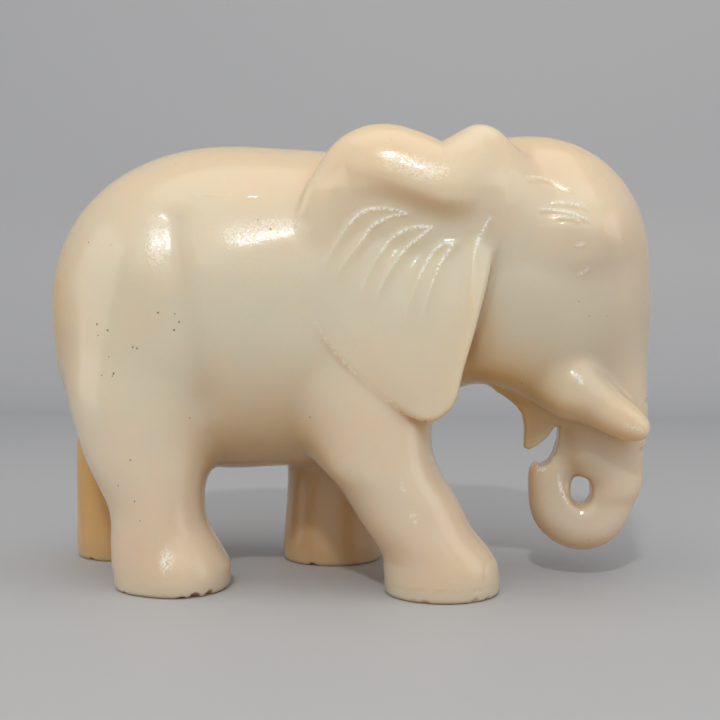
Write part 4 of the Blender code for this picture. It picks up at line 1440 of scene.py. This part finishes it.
# The camera: its lens in millimetres, its azimuth and elevation, then its distance and
# its target, which is measured from the middle of the soles, in metres.
CAMERA_LENS = 60
CAMERA_ANGLES = (5.5, 2.6)
CAMERA_DISTANCE = 0.405
CAMERA_TARGET = (0.0054, 0, 0.0725)


def plain_material(name, colour, roughness):
    """A material of one colour."""
    material = bpy.data.materials.new(name)
    material.use_nodes = True
    shader = material.node_tree.nodes["Principled BSDF"]
    shader.inputs["Base Color"].default_value = (*colour, 1)
    shader.inputs["Roughness"].default_value = roughness
    return material


def backdrop_mesh(width, depth, rise, bend):
    """A sweep: a flat floor, a quarter-round bend and an upright wall, as one sheet.

    The profile runs along y and z, and is carried straight along x.
    """
    turn = np.linspace(0, np.pi / 2, 25)
    floor_y, floor_z = np.array([-depth, depth * 0.55 - bend]), np.zeros(2)
    bend_y, bend_z = floor_y[1] + bend * np.sin(turn), bend * (1 - np.cos(turn))
    y = np.concatenate([floor_y[:1], bend_y, bend_y[-1:]])
    z = np.concatenate([floor_z[:1], bend_z, [rise]])
    x = np.linspace(-width / 2, width / 2, 13)
    grid_x, grid_y = np.meshgrid(x, y, indexing="ij")
    grid_z = np.broadcast_to(z, grid_x.shape)
    points = np.stack([grid_x, grid_y, grid_z], -1).reshape(-1, 3)
    rows, columns = len(x), len(y)
    corner = (np.arange(rows - 1)[:, None] * columns + np.arange(columns - 1)).ravel()
    faces = np.stack([corner, corner + columns, corner + columns + 1, corner + 1], -1)
    return new_mesh("backdrop", points, faces)


def aim(thing, target):
    """Turns a light or a camera so that it looks at the target."""
    thing.rotation_euler = (target - thing.location).to_track_quat("-Z", "Y").to_euler()


def direction(azimuth, elevation):
    """The unit vector towards an azimuth from -Y, positive to +X, and an elevation."""
    a, e = np.radians(azimuth), np.radians(elevation)
    return Vector((np.sin(a) * np.cos(e), -np.cos(a) * np.cos(e), np.sin(e)))


def softbox(name, target, angles, distance, size, energy, tint):
    """A rectangular light that faces the target from a direction and a distance."""
    light = bpy.data.lights.new(name, "AREA")
    light.shape = "RECTANGLE"
    light.size, light.size_y = size
    light.energy = energy
    light.color = tint
    thing = add_object(name, light)
    thing.location = target + direction(*angles) * distance
    aim(thing, target)


# ---------------------------------------------------------------- properties


def colour_setting(name, description, default):
    """A setting of red, green and blue."""
    limits = {"subtype": "COLOR", "size": 3, "min": 0, "max": 1}
    return FloatVectorProperty(name=name, description=description, default=default, **limits)


def amount(name, description, default, unit="NONE"):
    """A setting from 0 up."""
    return FloatProperty(name=name, description=description, default=default, min=0, unit=unit)


def portion(name, description, default):
    """A setting from 0 to 1."""
    return FloatProperty(name=name, description=description, default=default, min=0, max=1)


class CarvingSettings(bpy.types.PropertyGroup):
    """How fine and how deep the carving is, in carver's units."""

    triangles: IntProperty(
        name="Triangles", description="Facets of the skin before it is divided", default=110000, min=20000
    )
    fold_height: amount("Fold height", "How far the ear's folds stand out", 1.5)
    fold_scoop: portion("Fold scoop", "How deep each fold is scooped", 0.42)
    ridge_height: amount("Front ridge", "Height of the ridge along the ear's front", 1.2)
    eye_depth: amount("Eye depth", "How deep the eyes are carved", 1.0)
    knob_height: amount("Knob height", "Height of the knob at each tusk's root", 0.8)
    web_depth: amount("Web depth", "How far the curl's web is sunk", 0.4)
    wrinkle_depth: amount("Wrinkle depth", "Depth of the brow and trunk cuts", 0.35)
    swelling: amount("Swelling", "How strongly the hips and flanks swell", 1.0)
    foot_marks: amount("Foot marks", "Depth of the lines on the right forefoot", 0.16)


class JadeFinish(bpy.types.PropertyGroup):
    """The stone's colours, the light and shade painted into them, and its polish."""

    cream: colour_setting("Cream", "The stone's main colour", (0.78, 0.68, 0.51))
    cool: colour_setting("Cool cream", "Cooler, greener zones", (0.72, 0.68, 0.53))
    # Also the painted glow of thin stone.
    warm: colour_setting("Warm cream", "Warmer zones and thin stone", (0.8, 0.62, 0.43))
    peach: colour_setting("Peach", "Zones of the top, the rump and the feet", (0.83, 0.64, 0.39))
    # Partly a duller tone of the stone, partly painted shade.
    grey: colour_setting("Grey", "Duller zones of the face", (0.58, 0.52, 0.42))
    # Painted shade with a warm glow.
    amber: colour_setting("Amber", "Zones that glow brown", (0.66, 0.38, 0.06))
    # Partly the stone's tone, partly painted shade and warm light bounced up from below.
    low: colour_setting("Low tone", "The tone towards the feet", (0.7, 0.54, 0.41))
    umber: colour_setting("Umber", "Where light hardly reaches", (0.62, 0.34, 0.09))
    pit: colour_setting("Pit", "The small dark pits", (0.16, 0.1, 0.06))
    cloud_scale: amount("Cloud scale", "Zones of colour to a metre", 22.0)
    cloud_strength: portion("Cloud strength", "How much the zones show", 0.55)
    # Partly the stone's tone, partly painted shade and warm light bounced up from below.
    low_tone_and_shade_strength: portion("Low warmth", "How much the feet take the low tone", 0.5)
    # Painted glow of light through thin stone.
    thin_glow_strength: portion("Thin warmth", "How much thin stone warms", 0.35)
    # Painted shade in sheltered hollows.
    shelter_shade_strength: portion("Shelter warmth", "How brown sheltered skin is", 0.18)
    # Painted shade on the legs' inner sides.
    inner_shade_strength: portion("Inner warmth", "How brown the legs' inner sides are", 0.6)
    # Painted shade where little sky light reaches.
    sky_shade_strength: portion("Dim warmth", "How brown skin is that no sky reaches", 0.55)
    # Painted shade in creases.
    crease_shade_strength: portion("Crease warmth", "How brown the creases are", 0.15)
    # Painted highlights along fine strokes and patches, and how much rougher they are.
    painted_highlight_strength: portion("Highlights", "How white the fine strokes are", 0.95)
    highlight_roughness: portion("Highlight roughness", "How much rougher the frost is", 0.9)
    roughness: portion("Roughness", "Of the polish", 0.16)
    unevenness: portion("Unevenness", "How much the polish varies", 0.18)
    grain_size: amount("Grain size", "Size of the grain", 0.0009, unit="LENGTH")
    grain_strength: portion("Grain strength", "How strongly the grain shows", 0.5)
    translucency: portion("Translucency", "Share of light that enters", 0.9)
    light_depth: amount("Light depth", "How deep light goes", 0.013, unit="LENGTH")


class StudioSettings(bpy.types.PropertyGroup):
    """The plain studio round the piece."""

    floor_colour: colour_setting("Floor", "Colour of the floor and wall", (0.5, 0.512, 0.535))
    key_power: amount("Key", "Watts of the key light", 5.6)
    top_power: amount("Top", "Watts of the top light", 2.1)
    front_power: amount("Front", "Watts of the front light", 6.3)
    side_power: amount("Sides", "Watts of each side light", 2.2)
    fill: amount("Fill", "Strength of the light all round", 0.33)


# ---------------------------------------------------------------- operators


class ELEPHANT_OT_carve(bpy.types.Operator):
    """Carve the elephant's skin, which stands for the model's own node"""

    bl_idname = "jade_elephant.carve"
    bl_label = "Carve the elephant"

    def execute(self, context):
        piece = add_object("jade_elephant", skin_of(context.scene.elephant_carving))
        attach(piece, "root")
        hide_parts(NODE)
        return {"FINISHED"}


class ELEPHANT_OT_polish(bpy.types.Operator):
    """Give the carved skin its polished jade"""

    bl_idname = "jade_elephant.polish"
    bl_label = "Polish the stone"

    def execute(self, context):
        piece = bpy.data.objects["jade_elephant"]
        piece.data.materials.clear()
        piece.data.materials.append(jade_material(context.scene.elephant_finish))
        return {"FINISHED"}


class ELEPHANT_OT_studio(bpy.types.Operator):
    """Set the floor, the lights and the camera"""

    bl_idname = "jade_elephant.studio"
    bl_label = "Set the studio"

    def execute(self, context):
        studio = context.scene.elephant_studio
        length = CAD_HIGH.x - CAD_LOW.x
        middle = Vector(((CAD_LOW.x + CAD_HIGH.x) / 2, 0, CAD_LOW.z))

        backdrop = add_object("backdrop", backdrop_mesh(14 * length, 7 * length, 6 * length, length))
        backdrop.data.shade_smooth()
        floor = plain_material("pale_floor", studio.floor_colour, FLOOR_ROUGHNESS)
        backdrop.data.materials.append(floor)

        heart = middle + Vector((0, 0, 0.45 * length))
        for name, power, angles, distance, size, tint in SOFTBOXES:
            sides = [side * length for side in size]
            softbox(name, heart, angles, distance * length, sides, getattr(studio, power), tint)

        world = bpy.data.worlds.new("studio")
        world.use_nodes = True
        sky = world.node_tree.nodes["Background"]
        sky.inputs["Color"].default_value = SKY_TINT
        sky.inputs["Strength"].default_value = studio.fill
        context.scene.world = world

        view = bpy.data.cameras.new("camera")
        view.lens = CAMERA_LENS
        view.sensor_width = 36
        view.clip_start = 0.01
        camera = add_object("camera", view)
        target = middle + Vector(CAMERA_TARGET)
        camera.location = target + direction(*CAMERA_ANGLES) * CAMERA_DISTANCE
        aim(camera, target)
        context.scene.camera = camera
        context.scene.view_settings.view_transform = "Standard"
        return {"FINISHED"}


class ELEPHANT_PT_panel(bpy.types.Panel):
    """The sidebar's list of settings and steps"""

    bl_label = "Jade Elephant"
    bl_idname = "ELEPHANT_PT_panel"
    bl_space_type = "VIEW_3D"
    bl_region_type = "UI"
    bl_category = "Jade Elephant"

    def draw(self, context):
        for group in (
            context.scene.elephant_carving,
            context.scene.elephant_finish,
            context.scene.elephant_studio,
        ):
            box = self.layout.box()
            for name in group.__annotations__:
                box.prop(group, name)
        for step in OPERATORS:
            self.layout.operator(step.bl_idname)


OPERATORS = (ELEPHANT_OT_carve, ELEPHANT_OT_polish, ELEPHANT_OT_studio)
CLASSES = (CarvingSettings, JadeFinish, StudioSettings, *OPERATORS, ELEPHANT_PT_panel)


def register():
    for each in CLASSES:
        bpy.utils.register_class(each)
    bpy.types.Scene.elephant_carving = PointerProperty(type=CarvingSettings)
    bpy.types.Scene.elephant_finish = PointerProperty(type=JadeFinish)
    bpy.types.Scene.elephant_studio = PointerProperty(type=StudioSettings)


def unregister():
    del bpy.types.Scene.elephant_studio
    del bpy.types.Scene.elephant_finish
    del bpy.types.Scene.elephant_carving
    for each in reversed(CLASSES):
        bpy.utils.unregister_class(each)


def main():
    register()
    bpy.ops.jade_elephant.carve()
    bpy.ops.jade_elephant.polish()
    bpy.ops.jade_elephant.studio()


if __name__ == "__main__":
    main()
